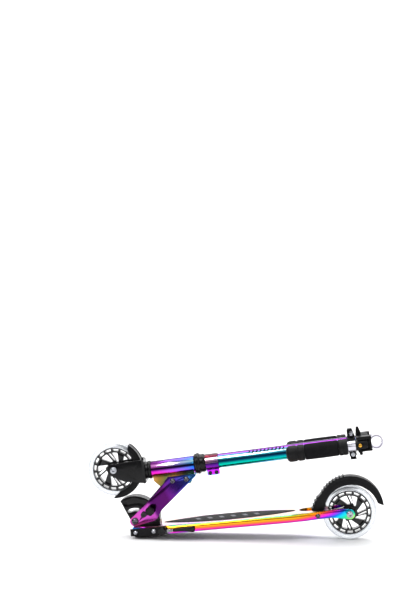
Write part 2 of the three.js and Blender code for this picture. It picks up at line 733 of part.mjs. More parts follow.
// Fork: steerer tube, crown, two legs and a stop pin
function fork() {
  const crown = slabY([[-11, -24], [-11, 24.6], [-16, 26], [-16, -26]], -26, 26);
  const seat = rodX(19, -12, -5.8, 0, 28);
  const outline = [
    [-11, -24],
    [-11, 24.6],
    [-16, 27],
    [-50, 27],
    ...arc(FRONT_AXLE, 14, 70, 250, 10),
    [-60, -16],
    [-16, -25],
  ];
  const leg = join(
    slabY(outline, LEG_INNER, LEG_OUTER),
    rodY(11, 24.2, LEG_OUTER + 0.6, [-43, -1]),
    rodY(9, HUB_HALF_WIDTH + GAP, 18.5, FRONT_AXLE)
  );
  const stop = rodZ(2, 20, 31.5, -13.5, -15);
  return cut(
    join(rodX(STEERER_RADIUS, -14, STEERER_END, 0, 28), crown, seat, bothSides(leg), stop),
    rodX(10.2, -30, STEERER_END + 10, 0, 28),
    rodY(AXLE_RADIUS + GAP, -FAR, FAR, FRONT_AXLE)
  );
}
piece(column, "fork", fork(), BLACK_METAL);

// Fender under the crown: a curved band with deep side lips that taper at both ends
function frontFender() {
  const [from, to] = [53, -98];
  const band = slabY(
    [...arc(FRONT_AXLE, FENDER_OUTER, from, to, 14), ...arc(FRONT_AXLE, FENDER_INNER, to, from, 14)],
    -15.5,
    15.5
  );
  const lip = slabY(
    [
      ...arc(FRONT_AXLE, FENDER_OUTER, from - 1, to + 1, 14),
      polar(FRONT_AXLE, 55, to + 9),
      ...arc(FRONT_AXLE, LIP_INNER, to + 20, from - 16, 10),
      polar(FRONT_AXLE, 54, from - 4),
    ],
    15.2,
    16.9
  );
  return cut(join(band, bothSides(lip)), rodX(STEERER_RADIUS, -30, 0, 0, 28));
}
piece(column, "front_fender", frontFender(), BLACK_PLASTIC);

// Front wheel
const [frontX, frontZ] = FRONT_AXLE;
piece(column, "front_axle_bolt", axle(25.9).translate(frontX, 0, frontZ), STEEL);
piece(column, "front_wheel_core", wheelCore().translate(frontX, 0, frontZ), GLOSS_PLASTIC);
piece(column, "front_wheel_tyre", tyre().translate(frontX, 0, frontZ), CLEAR_TYRE);

// Collar clamp joining the column tube to the steerer
function collarClamp() {
  const [a, b] = COLLAR;
  const lug = slabY([[a, -10], [b, -10], [b, -27], [b - 2, -29], [a + 2, -29], [a, -27]], -8.5, 8.5);
  const holes = COLLAR_BOLTS.map(([, x]) => {
    const at = [x, COLLAR_BOLT_DROP];
    return join(rodY(2.7, -20, 20, at, 16), rodY(4.6, -20, -7, at));
  });
  return cut(
    join(rodX(18.6, a, b), lug),
    rodX(OUTER_TUBE_RADIUS + GAP, a - 1, b + 1),
    box(a - 1, b + 1, -1, 1, -40, 0),
    ...holes
  );
}
piece(column, "collar_clamp", collarClamp(), RAINBOW_COLLAR);
for (const [which, x] of COLLAR_BOLTS) {
  const bolt = join(rodY(4.3, -10.4, -7.3), rodY(2.4, -8, 8.4, [0, 0], 16));
  const socketed = cut(bolt, socket(2, -10.4, 1.8)).translate(x, 0, COLLAR_BOLT_DROP);
  piece(column, `collar_bolt_${which}`, socketed, BLACK_STEEL);
}

// Column tube with a clamping slit at its top
const columnTube = cut(
  tubeX(OUTER_TUBE_RADIUS, OUTER_TUBE_BORE, ...OUTER_TUBE),
  box(425, 470, -1.2, 1.2, -30, 0)
);
piece(column, "column_tube", columnTube, RAINBOW_TUBE);

// Height clamp: band, adjusting bolt, cam pin and lever
function clampBand() {
  const [a, b] = HEIGHT_CLAMP;
  const block = [[a + 1.5, 12], [b - 1, 12], [b - 1, 22], [b - 5, 34.5], [a + 3.5, 34.5], [a + 1.5, 30]];
  const ears = [[a + 1, -12], [b - 1, -12], [b - 1, -25.5], [b - 4, -27.2], [a + 4, -27.2], [a + 1, -25.5]];
  return cut(
    join(rodX(18.7, a, b), slabY(block, -10, 10), slabY(ears, -8, 8)),
    rodX(OUTER_TUBE_RADIUS + GAP, a - 1, b + 1),
    box(a - 1, b + 1, -1.2, 1.2, -40, 0),
    rodY(3.1, -20, 20, CLAMP_BOLT, 16),
    rodY(3.1, -20, 20, CAM_PIN, 16)
  );
}
piece(column, "height_clamp_band", clampBand(), BLACK_METAL);

const clampBolt = join(
  hexY(9.4, -14, -10.3, CLAMP_BOLT),
  rodY(2.8, -15, 10.8, CLAMP_BOLT, 16),
  rodY(5, 10.3, 13.2, CLAMP_BOLT)
);
const camPin = join(rodY(2.8, -11.6, 8.4, CAM_PIN, 16), rodY(4.6, -11.6, -8.3, CAM_PIN));
piece(column, "height_clamp_bolt", clampBolt, STEEL);
piece(column, "height_clamp_cam_pin", camPin, STEEL);

// Cam lever folded across under the ears, as an outline across the column
function clampLever() {
  const outline = [
    ...arc([12.6, -22.6], 3.7, 70, 215, 6),
    [9.2, -27.8],
    [6.5, -28.6],
    [3, -29.3],
    [-12, -30],
    [-16, -30.6],
    [-16, -32.4],
    [-12, -33.6],
    [4, -33],
    [13, -30.6],
    [16.8, -26.5],
    [16.8, -22],
    [15, -19.2],
  ];
  const shape = new THREE.Shape(outline.map(([y, z]) => new THREE.Vector2(y, z)));
  const g = new THREE.ExtrudeGeometry(shape, { depth: 13, bevelEnabled: false });
  g.rotateX(Math.PI / 2);
  g.rotateZ(Math.PI / 2);
  g.translate(HEIGHT_CLAMP[0] + 2.5, 0, 0);
  return toSolid(g);
}
piece(column, "height_clamp_lever", clampLever(), BLACK_METAL);

// T-bar: stem and cross tube
const barAxis = [BAR_STATION, 0];
const stem = cut(
  tubeX(INNER_TUBE_RADIUS, 11.8, INNER_TUBE_START, BAR_STATION - 6),
  rodY(BAR_RADIUS + GAP, -30, 30, barAxis, 48)
);
const barHoles = rodX(3.6, BAR_STATION, BAR_STATION + 30, BUTTON_HOLE_STEP, 16);
const crossTube = cut(tubeY(BAR_RADIUS, BAR_BORE, -BAR_HALF, BAR_HALF, barAxis, 40), bothSides(barHoles));
piece(column, "bar_stem", stem, SILVER);
piece(column, "bar_cross_tube", crossTube, SILVER);

// Grip holder: a sleeve on the stem, a trough each side and two prongs
function gripHolder() {
  const [a, b] = HOLDER;
  const sleeveEnd = BAR_STATION - BAR_RADIUS - 0.8;
  const bore = GRIP_TUBE_RADIUS + GAP;
  const walls = join(
    box(a + 1, b, 26.6, 45, HOLDER_FLOOR, HOLDER_TOP),
    box(a + 1, sleeveEnd - 1, 20, 28, HOLDER_FLOOR, HOLDER_TOP)
  );
  const trough = cut(
    walls,
    rodX(bore, a - 1, b + 1, GRIP_OFFSET),
    box(a - 1, b + 1, GRIP_OFFSET, FAR, -bore, bore)
  );
  const prongUp = [[a + 1, 10], [a + 13, 10], [a + 11, 26], [a + 8, 36], [a + 3, 36], [a + 1, 26]];
  const prongDown = [[a + 2, -10], [a + 2, -18], [a + 5, -27.5], [a + 11, -26.5], [a + 4, -10]];
  return cut(
    join(
      rodX(19, a, sleeveEnd),
      box(a + 2, sleeveEnd - 1, -27, 27, -14.5, 14.5),
      bothSides(trough),
      slabY(prongUp, -6, 6),
      slabY(prongDown, -6, 6)
    ),
    rodX(INNER_TUBE_RADIUS + GAP, a - 5, b + 10),
    rodY(BAR_RADIUS + 0.6, -26.3, 26.3, barAxis, 48)
  );
}
piece(column, "grip_holder", gripHolder(), BLACK_PLASTIC);

// ---- Grips ------------------------------------------------------------------

const gripEnd = BAR_STATION + GRIP_END;
const plugStart = gripEnd - GRIP_PLUG_LENGTH;
const collarEnd = BAR_STATION + GRIP_COLLAR_END;
const gripStart = collarEnd - GRIP_LENGTH; // outer end of the cap
const buttonX = BAR_STATION + BUTTON_STATION;
const gripBore = GRIP_TUBE_RADIUS + GAP;

const PLUG_PROFILE = [
  [8, plugStart],
  [GRIP_TUBE_RADIUS, plugStart],
  [GRIP_TUBE_RADIUS, gripEnd - 1.2],
  [GRIP_TUBE_RADIUS - 1.2, gripEnd],
  [8, gripEnd],
];
const COLLAR_PROFILE = [
  [gripBore, collarEnd - 20],
  [16.6, collarEnd - 20],
  [17.8, collarEnd - 17],
  [17.8, collarEnd - 3],
  [15.6, collarEnd],
  [gripBore, collarEnd],
];
const FOAM_PROFILE = [
  [gripBore, gripStart + 40.5],
  [FOAM_RADIUS - 0.6, gripStart + 40.5],
  [FOAM_RADIUS, gripStart + 47],
  [FOAM_RADIUS, collarEnd - 26],
  [FOAM_RADIUS - 0.6, collarEnd - 20.3],
  [gripBore, collarEnd - 20.3],
];
const CAP_PROFILE = [
  [0, gripStart],
  [9, gripStart + 0.6],
  [14.5, gripStart + 3],
  [17.6, gripStart + 7.5],
  [18, gripStart + 12],
  [18, gripStart + 22],
  [16.4, gripStart + 24],
  [16.4, gripStart + 26],
  [18, gripStart + 28],
  [17.4, gripStart + 40.2],
  [gripBore, gripStart + 40.2],
  [gripBore, gripStart + 13.6],
  [0, gripStart + 13.6],
];

// Spring button in the plug, its face looking along +Y
function springButton() {
  const foot = GRIP_TUBE_RADIUS - 3.4;
  const face = GRIP_TUBE_RADIUS + 2.2;
  return turnY([[0, foot], [4, foot], [4, face - 1.4], [2.6, face], [0, face]]);
}

for (const [which, side] of [["left", -1], ["right", 1]]) {
  const y = side * GRIP_OFFSET;
  const facing = (solid) => (side < 0 ? solid.mirror([0, 1, 0]) : solid);
  const plug = cut(turnX(PLUG_PROFILE), facing(rodY(4.4, 0, 20, [buttonX, 0])));
  const sleeve = tubeX(GRIP_TUBE_RADIUS, 8.6, gripStart + 14, plugStart - GAP, y);
  piece(column, `grip_${which}_tube`, sleeve, SILVER);
  piece(column, `grip_${which}_plug`, plug.translate(0, y, 0), BLACK_PLASTIC);
  piece(column, `grip_${which}_button`, facing(springButton()).translate(buttonX, y, 0), BRASS);
  piece(column, `grip_${which}_collar`, turnX(COLLAR_PROFILE, y), RUBBER);
  piece(column, `grip_${which}_foam`, turnX(FOAM_PROFILE, y), FOAM);
  piece(column, `grip_${which}_end_cap`, turnX(CAP_PROFILE, y), RUBBER);
}

export default root;
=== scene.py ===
"""Looks of the folding kick scooter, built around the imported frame. Shapes are in millimetres until
place() puts them in the row frame."""

from math import atan2, cos, pi, radians, sin, sqrt

import bmesh
import bpy
from mathutils import Matrix, Vector

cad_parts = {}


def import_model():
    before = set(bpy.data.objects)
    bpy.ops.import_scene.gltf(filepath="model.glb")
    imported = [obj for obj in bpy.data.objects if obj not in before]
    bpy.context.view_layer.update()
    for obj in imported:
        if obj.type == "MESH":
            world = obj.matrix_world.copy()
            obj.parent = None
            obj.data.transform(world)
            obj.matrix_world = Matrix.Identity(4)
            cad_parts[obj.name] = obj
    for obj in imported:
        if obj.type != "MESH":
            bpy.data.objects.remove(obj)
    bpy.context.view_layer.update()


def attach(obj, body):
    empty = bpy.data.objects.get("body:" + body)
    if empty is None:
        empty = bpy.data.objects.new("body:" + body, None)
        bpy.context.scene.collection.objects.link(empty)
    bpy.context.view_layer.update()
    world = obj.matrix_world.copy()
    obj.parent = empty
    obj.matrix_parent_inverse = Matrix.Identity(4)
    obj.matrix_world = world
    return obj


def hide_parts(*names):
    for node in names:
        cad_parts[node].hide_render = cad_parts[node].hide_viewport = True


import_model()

# ---- Driving dimensions, in millimetres and degrees ----

MM = 0.001
DECK_TILT = 6.06
STEER_TILT = 8.16
REAR_AXLE = (252.43, 0, 60)
FOLD_PIVOT = (-472.3, 25)
PIVOT_IN_COLUMN = (-48.5, -106.3)

TYRE_RADIUS = 60
TYRE_INNER = 48
CORE_RADIUS = 47.6
WEB_HALF = 6.5
HUB_HALF = 13.5
AXLE_RADIUS = 4
WINDOWS = 16

DECK_TOP = 13.5
DECK_BOTTOM = -4.5
DECK_EDGE = 6.5
WHEEL_SLOT = 20
BLOCK_HALF = 17
BLOCK_RADIUS = 54.8
PLATE_INNER = 17.6
PLATE_OUTER = 21.6
SLOT_RADIUS = 24.3
LOCK_RADIUS = 42.4
LOCK_ANGLE = 30
FOLD_TRAVEL = 85

HEAD_TUBE_RADIUS = 18.5
TUBE_RADIUS = 16
STEM_RADIUS = 13.6
FRONT_AXLE = (-79.5, 12)
FENDER_INNER = 61.3
FENDER_OUTER = 63.3
BRAKE_PIVOT = (-69.5, 4.5)
SHELL_CENTRE = (3.4, 8.3)
SHELL_OUTER = 72.4
SHELL_INNER = 69.8
SHELL_START = 144
QR = (438.5, 456.5)
BAR_STATION = 500.6
BAR_RADIUS = 15
BAR_HALF = 26
GRIP_OFFSET = 38
GRIP_RADIUS = 11.1
FOAM_RADIUS = 17.6
GRIP_LENGTH = 135
GAP = 0.3

# holes are given by radius
FOLD_HOLE = 5.4
BOLT_HOLE = 3.3
SCREW_HOLE = 2.8
PIN_HOLE = 4.3
SLOT_HALF = 4.4
SLOT_ANGLE = 32
BLOCK_BOLT_X = (-470.5, -428)
SCREW_X = (-470, -430)
SCREW_Z = 4
DOME_ANGLES = (0.35, 0.7, 1.05)  # radians up a domed bolt head
DOME_FLAT = 0.42  # flat top of a bolt head, as a share of its radius
RIB_STEP = 6.6  # degrees between the rear fender's treads
RIB_HALF = 15.5
COLLAR = (123.5, 151.5)
COLLAR_BOLTS = (("lower", 130.5), ("upper", 144.5))
COLLAR_BOLT_Z = -23.4
HEADSET_BORE = 14.5
BUTTON_HOLE_Y = 17.4
BUTTON_WINDOW = 4.4


def tilted(x, z, degrees):
    a = radians(degrees)
    return x * cos(a) - z * sin(a), x * sin(a) + z * cos(a)


def frame_at(x, z, tilt):
    """Placement of a tilted part whose shapes are in millimetres."""
    spin = Matrix.Rotation(-radians(tilt), 4, "Y")
    return Matrix.Translation((x * MM, 0, z * MM)) @ spin @ Matrix.Scale(MM, 4)


pivot = tilted(*FOLD_PIVOT, DECK_TILT)
pivot = (pivot[0] + REAR_AXLE[0], pivot[1] + REAR_AXLE[2])
back = tilted(*PIVOT_IN_COLUMN, STEER_TILT)
HEAD = (pivot[0] - back[0], pivot[1] - back[1])
DECK = frame_at(REAR_AXLE[0], REAR_AXLE[2], DECK_TILT)
COLUMN = frame_at(HEAD[0], HEAD[1], STEER_TILT)

# ---- Mesh building ----


def new_object(name, data):
    obj = bpy.data.objects.new(name, data)
    bpy.context.scene.collection.objects.link(obj)
    return obj


def mesh_object(vertices, faces):
    mesh = bpy.data.meshes.new("shape")
    mesh.from_pydata([tuple(v) for v in vertices], [], faces)
    bm = bmesh.new()
    bm.from_mesh(mesh)
    bmesh.ops.remove_doubles(bm, verts=bm.verts, dist=1e-4)
    bmesh.ops.recalc_face_normals(bm, faces=bm.faces)
    bm.to_mesh(mesh)
    bm.free()
    return new_object("shape", mesh)


def turned(axis, along, radius, angle, at):
    """A point on a shape turned about axis; angle 0 is the first of the other two axes."""
    c, s = radius * cos(angle), radius * sin(angle)
    if axis == "X":
        return along, at[0] + c, at[1] + s
    if axis == "Y":
        return at[0] + c, along, at[1] + s
    return at[0] + c, at[1] + s, along


def turn(axis, profile, at=(0, 0), n=72):
    """Closed outline of (radius, distance) points turned about axis."""
    vertices, rings = [], []
    for radius, along in profile:
        if radius < 1e-6:
            rings.append([len(vertices)] * n)
            vertices.append(turned(axis, along, 0, 0, at))
        else:
            rings.append(list(range(len(vertices), len(vertices) + n)))
            vertices += [turned(axis, along, radius, 2 * pi * i / n, at) for i in range(n)]
    faces = []
    for a, b in zip(rings, rings[1:] + rings[:1]):
        if a[0] == a[1] and b[0] == b[1]:
            continue
        for i in range(n):
            j = (i + 1) % n
            corners = []
            for k in (a[i], a[j], b[j], b[i]):
                if k not in corners:
                    corners.append(k)
            faces.append(corners)
    return mesh_object(vertices, faces)


def rod(axis, radius, a, b, at=(0, 0), n=56):
    return turn(axis, [(0, a), (radius, a), (radius, b), (0, b)], at, n)


def tube(axis, outer, inner, a, b, at=(0, 0), n=72):
    return turn(axis, [(inner, a), (outer, a), (outer, b), (inner, b)], at, n)


def slab(axis, outline, a, b):
    """Outline pushed along axis: (x, z) along Y, (x, y) along Z, (y, z) along X."""
    def point(p, t):
        return {"X": (t, p[0], p[1]), "Y": (p[0], t, p[1]), "Z": (p[0], p[1], t)}[axis]

    n = len(outline)
    vertices = [point(p, a) for p in outline] + [point(p, b) for p in outline]
    faces = [list(range(n)), list(range(2 * n - 1, n - 1, -1))]
    faces += [[i, (i + 1) % n, n + (i + 1) % n, n + i] for i in range(n)]
    return mesh_object(vertices, faces)


def block(x0, x1, y0, y1, z0, z1):
    return slab("Z", [(x0, y0), (x1, y0), (x1, y1), (x0, y1)], z0, z1)


def sweep(points, radius, n=12):
    """Round bar along points, closed at both ends."""
    points = [Vector(p) for p in points]
    vertices, faces = [], []
    normal = None
    for i, p in enumerate(points):
        along = (points[min(i + 1, len(points) - 1)] - points[max(i - 1, 0)]).normalized()
        if normal is None:
            normal = along.orthogonal().normalized()
        normal = (normal - along * normal.dot(along)).normalized()
        side = along.cross(normal)
        for k in range(n):
            a = 2 * pi * k / n
            vertices.append(p + radius * (cos(a) * normal + sin(a) * side))
    for i in range(len(points) - 1):
        for k in range(n):
            m = (k + 1) % n
            faces.append([i * n + k, i * n + m, (i + 1) * n + m, (i + 1) * n + k])
    faces += [list(range(n)), list(range(len(vertices) - n, len(vertices)))]
    return mesh_object(vertices, faces)


def polar(cx, cz, radius, degrees):
    """The point at a radius and angle from a centre."""
    a = radians(degrees)
    return cx + radius * cos(a), cz + radius * sin(a)


def arc(cx, cz, radius, start, end, steps):
    return [polar(cx, cz, radius, start + (end - start) * i / steps) for i in range(steps + 1)]


def slot_outline(cx, cz, radius, half, start, end):
    tip = [polar(cx, cz, radius, a) for a in (start, end)]
    return (
        arc(cx, cz, radius + half, start, end, 24)
        + arc(*tip[1], half, end, end + 180, 12)[1:-1]
        + arc(cx, cz, radius - half, end, start, 24)
        + arc(*tip[0], half, start + 180, start + 360, 12)[1:-1]
    )


def baked(obj):
    """obj with its modifiers applied."""
    graph = bpy.context.evaluated_depsgraph_get()
    mesh = bpy.data.meshes.new_from_object(obj.evaluated_get(graph))
    obj.modifiers.clear()
    obj.data = mesh
    return obj


def boolean(obj, operation, tools):
    for tool in tools:
        m = obj.modifiers.new("boolean", "BOOLEAN")
        m.operation = operation
        m.solver = "MANIFOLD"
        m.object = tool
        baked(obj)
        bpy.data.objects.remove(tool)
    return obj


def join(obj, *tools):
    return boolean(obj, "UNION", tools)


def cut(obj, *tools):
    return boolean(obj, "DIFFERENCE", tools)


def moved(obj, x=0, y=0, z=0, turn_y=0):
    obj.data.transform(Matrix.Translation((x, y, z)) @ Matrix.Rotation(radians(turn_y), 4, "Y"))
    return obj


def rounded(obj, width, segments=2, angle=35):
    """Round obj's edges that are sharper than angle."""
    m = obj.modifiers.new("bevel", "BEVEL")
    m.width = width
    m.segments = segments
    m.limit_method = "ANGLE"
    m.angle_limit = radians(angle)
    m.use_clamp_overlap = True
    return baked(obj)


def place(obj, where, node, body, material, bevel=0.5, smooth=38):
    """Finish a shape: round its edges, put it in the row frame, and let it stand for its CAD node."""
    if bevel:
        rounded(obj, bevel)
    obj.data.transform(where)
    obj.data.polygons.foreach_set("use_smooth", [True] * len(obj.data.polygons))
    obj.data.set_sharp_from_angle(angle=radians(smooth))
    obj.name = "look_" + node
    obj.data.name = obj.name
    obj.data.materials.clear()
    obj.data.materials.append(MATERIALS[material])
    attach(obj, body)
    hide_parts(node)
    return obj


# ---- Materials ----


MATERIALS = {}


class Shader:
    """A material's node tree with short ways to add to it."""

    def __init__(self, name):
        self.material = bpy.data.materials.new(name)
        MATERIALS[name] = self.material
        self.material.use_nodes = True
        self.nodes = self.material.node_tree.nodes
        self.links = self.material.node_tree.links
        self.bsdf = self.nodes["Principled BSDF"]
        self.place = self.add("ShaderNodeTexCoord").outputs["Object"]

    def add(self, kind, **settings):
        node = self.nodes.new(kind)
        for key, value in settings.items():
            setattr(node, key, value)
        return node

    def link(self, source, target):
        self.links.new(source, target)

    def set(self, **values):
        for key, value in values.items():
            self.bsdf.inputs[key.replace("_", " ")].default_value = value

    def local(self, where):
        """Position in a tilted part's own millimetres."""
        origin = where.translation
        angle = -atan2(-where[2][0], where[0][0])
        shift = self.add("ShaderNodeVectorMath", operation="SUBTRACT")
        shift.inputs[1].default_value = origin
        self.link(self.place, shift.inputs[0])
        spin = self.add("ShaderNodeVectorRotate", rotation_type="Y_AXIS")
        spin.inputs["Angle"].default_value = angle
        self.link(shift.outputs[0], spin.inputs["Vector"])
        scale = self.add("ShaderNodeVectorMath", operation="SCALE")
        scale.inputs["Scale"].default_value = 1 / MM
        self.link(spin.outputs[0], scale.inputs[0])
        return scale.outputs[0]

    def math(self, operation, a, b=None, clamp=False):
        node = self.add("ShaderNodeMath", operation=operation, use_clamp=clamp)
        for i, value in enumerate((a, b)):
            if value is None:
                continue
            if isinstance(value, (int, float)):
                node.inputs[i].default_value = value
            else:
                self.link(value, node.inputs[i])
        return node.outputs[0]

    def plus(self, a, b, clamp=False):
        return self.math("ADD", a, b, clamp)

    def minus(self, a, b, clamp=False):
        return self.math("SUBTRACT", a, b, clamp)

    def times(self, a, b, clamp=False):
        return self.math("MULTIPLY", a, b, clamp)

    def over(self, a, b, clamp=False):
        return self.math("DIVIDE", a, b, clamp)

    def below(self, a, b):
        return self.math("LESS_THAN", a, b)

    def split(self, vector):
        node = self.add("ShaderNodeSeparateXYZ")
        self.link(vector, node.inputs[0])
        return node.outputs

    def noise(self, scale, detail=3, vector=None):
        node = self.add("ShaderNodeTexNoise")
        node.inputs["Scale"].default_value = scale
        node.inputs["Detail"].default_value = detail
        self.link(vector or self.place, node.inputs["Vector"])
        return node.outputs[0]

    def ramp(self, factor, stops):
        node = self.add("ShaderNodeValToRGB")
        elements = node.color_ramp.elements
        while len(elements) < len(stops):
            elements.new(0.5)
        for element, (position, color) in zip(elements, sorted(stops, key=lambda s: s[0])):
            element.position = position
            element.color = (*color, 1)
        self.link(factor, node.inputs[0])
        return node.outputs[0]

    def mix(self, factor, a, b):
        node = self.add("ShaderNodeMix", data_type="RGBA")
        for socket, value in ((node.inputs[0], factor), (node.inputs[6], a), (node.inputs[7], b)):
            if isinstance(value, (int, float)):
                socket.default_value = value
            elif isinstance(value, tuple):
                socket.default_value = (*value, 1)
            else:
                self.link(value, socket)
        return node.outputs[2]

    def between(self, value, low, high):
        """Map a 0..1 value onto low..high."""
        return self.plus(self.times(value, high - low), low)

    def color(self, value):
        self.link(value, self.bsdf.inputs["Base Color"])

    def roughness(self, value):
        self.link(value, self.bsdf.inputs["Roughness"])

    def bump(self, height, strength, distance=0.0003):
        node = self.add("ShaderNodeBump")
        node.inputs["Strength"].default_value = strength
        node.inputs["Distance"].default_value = distance
        self.link(height, node.inputs["Height"])
        self.link(node.outputs[0], self.bsdf.inputs["Normal"])


def rgb(code):
    """A linear colour from a six-digit display code."""
    parts = [int(code[i : i + 2], 16) / 255 for i in (0, 2, 4)]
    return tuple(c / 12.92 if c <= 0.04045 else ((c + 0.055) / 1.055) ** 2.4 for c in parts)


def stops(codes):
    """Ramp stops from "position code" pairs."""
    words = codes.split()
    return [(float(t), rgb(c)) for t, c in zip(words[::2], words[1::2])]


def polished(s, color, roughness):
    """Finish s as rainbow-coated polished metal."""
    s.color(color)
    s.roughness(s.between(s.noise(900, 4), *roughness))
    s.bump(s.noise(160, 3), 0.04, 0.0002)
    s.set(Metallic=1.0)


def along(s, x, z, start, end):
    """0 at start, 1 at end, in a part's own millimetres."""
    span = Vector(end) - Vector(start)
    step = span / span.length_squared
    total = s.plus(s.times(x, step.x), s.times(z, step.y))
    return s.minus(total, Vector(start).dot(step))


def within(s, value, low, high):
    """1 where value lies between low and high."""
    middle, half = (low + high) / 2, (high - low) / 2
    return s.below(s.math("ABSOLUTE", s.minus(value, middle)), half)


def drift(s, amount):
    """A slow wander of the coating's colour."""
    return s.times(s.minus(s.noise(14, 2), 0.5), amount)


def banded(name, radius, lower_end, upper_end, span, extra):
    """Rainbow tube: bands by height across it, fading from one set at its lower end to another at its
    upper end. The hues are the coating; the pale bands are painted highlights and the dark bands painted
    reflections of the studio. extra paints over it."""
    s = Shader(name)
    x, y, z = s.split(s.local(COLUMN))
    height = s.plus(s.over(z, 2 * radius), 0.5)
    height = s.plus(height, drift(s, 0.04))
    first = s.ramp(height, stops(lower_end))
    second = s.ramp(height, stops(upper_end))
    low, high = span
    blend = s.over(s.minus(x, low), high - low, clamp=True)
    color = s.mix(blend, first, second)
    polished(s, extra(s, x, y, z, color), (0.1, 0.18))


def blank_badge(s, x, y, z, color):
    """A plain pale oval on the left of the head tube."""
    across = s.over(s.minus(x, 44), 13)
    up = s.over(s.minus(z, 9.5), 4.2)
    reach = s.plus(s.times(across, across), s.times(up, up))
    mask = s.times(s.below(reach, 1.0), s.below(y, 0.0))
    return s.mix(s.times(mask, 0.85), color, rgb("E4DCE8"))


def slanted_bars(s, x, y, z, color):
    """A short row of dark slanted bars on the left of the column tube."""
    cycle = s.math("FRACT", s.over(s.minus(x, s.times(z, 0.6)), 8.5))
    bars = s.below(cycle, 0.5)
    patch = s.times(within(s, x, 221, 300), within(s, z, 8.5, 14.5))
    mask = s.times(s.times(bars, patch), s.below(y, 0.0))
    return s.mix(mask, color, rgb("0B0C12"))


def lug_edges(s, x, y, z, color):
    """Magenta lug under the collar, with a cyan lower corner."""
    left = s.times(s.minus(126.5, x), 0.35, clamp=True)
    foot = s.times(s.minus(-26.5, z), 0.5, clamp=True)
    lug = s.mix(s.math("MAXIMUM", left, foot), rgb("C428E4"), rgb("2CC4EA"))
    return s.mix(s.below(z, -18.4), color, lug)


def deck_coat():
    """Deck rail: blue at the foot, magenta, orange and yellow, green along the top edge. The colours run
    on through blue, cyan and green towards the rear ends. The top face is a pale lilac and peach; the
    underside between the rails, ahead of the wheel slot, is darker grey."""
    s = Shader("neo_deck")
    x, y, z = s.split(s.local(DECK))
    height = s.over(s.minus(z, DECK_BOTTOM), DECK_TOP - DECK_BOTTOM)
    height = s.plus(height, 0.0, clamp=True)
    factor = s.minus(s.times(height, 1.25), 0.25)
    rear = s.over(s.plus(x, 135), 132, clamp=True)
    rear = s.times(rear, rear)
    nose = s.over(s.minus(-392, x), 70, clamp=True)
    factor = s.times(factor, s.minus(1.0, s.times(rear, 0.75)))
    factor = s.minus(factor, s.times(rear, 0.8))
    factor = s.minus(factor, s.times(nose, 1.35))
    factor = s.plus(factor, drift(s, 0.16))
    rail = s.ramp(
        s.plus(s.times(factor, 0.5), 0.5),
        stops(
            "0 D8E84A 0.1 30D890 0.19 18C8E8 0.29 1E5AE8 0.39 9A2CE0 0.48 F42CB4 0.56 FA4478 0.64 FF6A30 "
            "0.74 FF9A1C 0.85 FFC428 0.92 F0E83A 0.955 2CE08C 1 12A8A0"
        )
    )
    top = s.ramp(
        s.plus(s.noise(9, 2), drift(s, 0.5)), stops("0.3 C8A4DC 0.45 E8BCD0 0.6 F6CCA8 0.75 C4E0C8")
    )
    color = s.mix(s.math("GREATER_THAN", z, DECK_TOP - 0.6), rail, top)
    between_rails = s.below(s.math("ABSOLUTE", y), 42.0)
    # the underside between the rails, ahead of the wheel slot, is painted dark grey
    under = s.times(s.below(z, 9.0), between_rails)
    ahead = s.below(x, -96.0)
    polished(s, s.mix(s.times(under, ahead), color, rgb("3A3A3E")), (0.1, 0.2))


def plate_coat():
    """Side plates: pink at the folding end, plum in the middle, blue-violet at the head tube."""
    s = Shader("neo_plate")
    x, _, z = s.split(s.local(COLUMN))
    factor = along(s, x, z, (-50, -112), (88, -18))
    across = along(s, x, z, (0, -60), (40, -100))
    factor = s.plus(s.plus(factor, s.times(across, 0.05)), drift(s, 0.06))
    color = s.ramp(
        factor,
        stops(
            "0 C850A8 0.16 BC4AB0 0.31 B048AC 0.345 5A1C68 0.38 4A1456 0.58 50165C 0.63 62207E 0.8 4A2C94 "
            "0.92 3A4AA8 1 3C74B8"
        )
    )
    polished(s, color, (0.14, 0.24))


def gusset_coat():
    """Gusset: olive and bronze, dark towards the plates."""
    s = Shader("neo_gusset")
    x, _, z = s.split(s.local(COLUMN))
    factor = s.plus(along(s, x, z, (0, -20), (60, -60)), drift(s, 0.3))
    color = s.ramp(factor, stops("0 B88A4C 0.2 8A6A30 0.4 5E6438 0.6 A0703C 0.8 3E3A2C 1 2E5A4C"))
    polished(s, color, (0.16, 0.26))


def plastic(name, code, roughness, grain_scale, bump, coat=0.0, shine=0.2):
    """Moulded or coated black parts: a fine grain, a faint pale mottle of dust all over and a broken-up
    gloss.
    """
    s = Shader(name)
    base = rgb(code)
    pale = tuple(min(1, c * 2.2 + 0.003) for c in base)
    s.color(s.mix(s.times(s.noise(60, 5), 0.6), base, pale))
    s.roughness(s.between(s.noise(220, 4), *roughness))
    s.bump(s.noise(grain_scale, 4), bump, 0.0002)
    s.set(Coat_Weight=coat, Coat_Roughness=0.1, Specular_IOR_Level=shine)


def bare_metal(name, code, roughness, brushed_along=None):
    """Satin or bright metal with a fine directional grain."""
    s = Shader(name)
    base = rgb(code)
    stretch = s.add("ShaderNodeVectorMath", operation="MULTIPLY")
    stretch.inputs[1].default_value = brushed_along or (1, 1, 1)
    s.link(s.place, stretch.inputs[0])
    lines = s.noise(1500, 3, stretch.outputs[0])
    s.color(s.mix(lines, tuple(c * 0.86 for c in base), base))
    s.roughness(s.between(lines, *roughness))
    s.bump(lines, 0.06, 0.0001)
    s.set(Metallic=1.0)


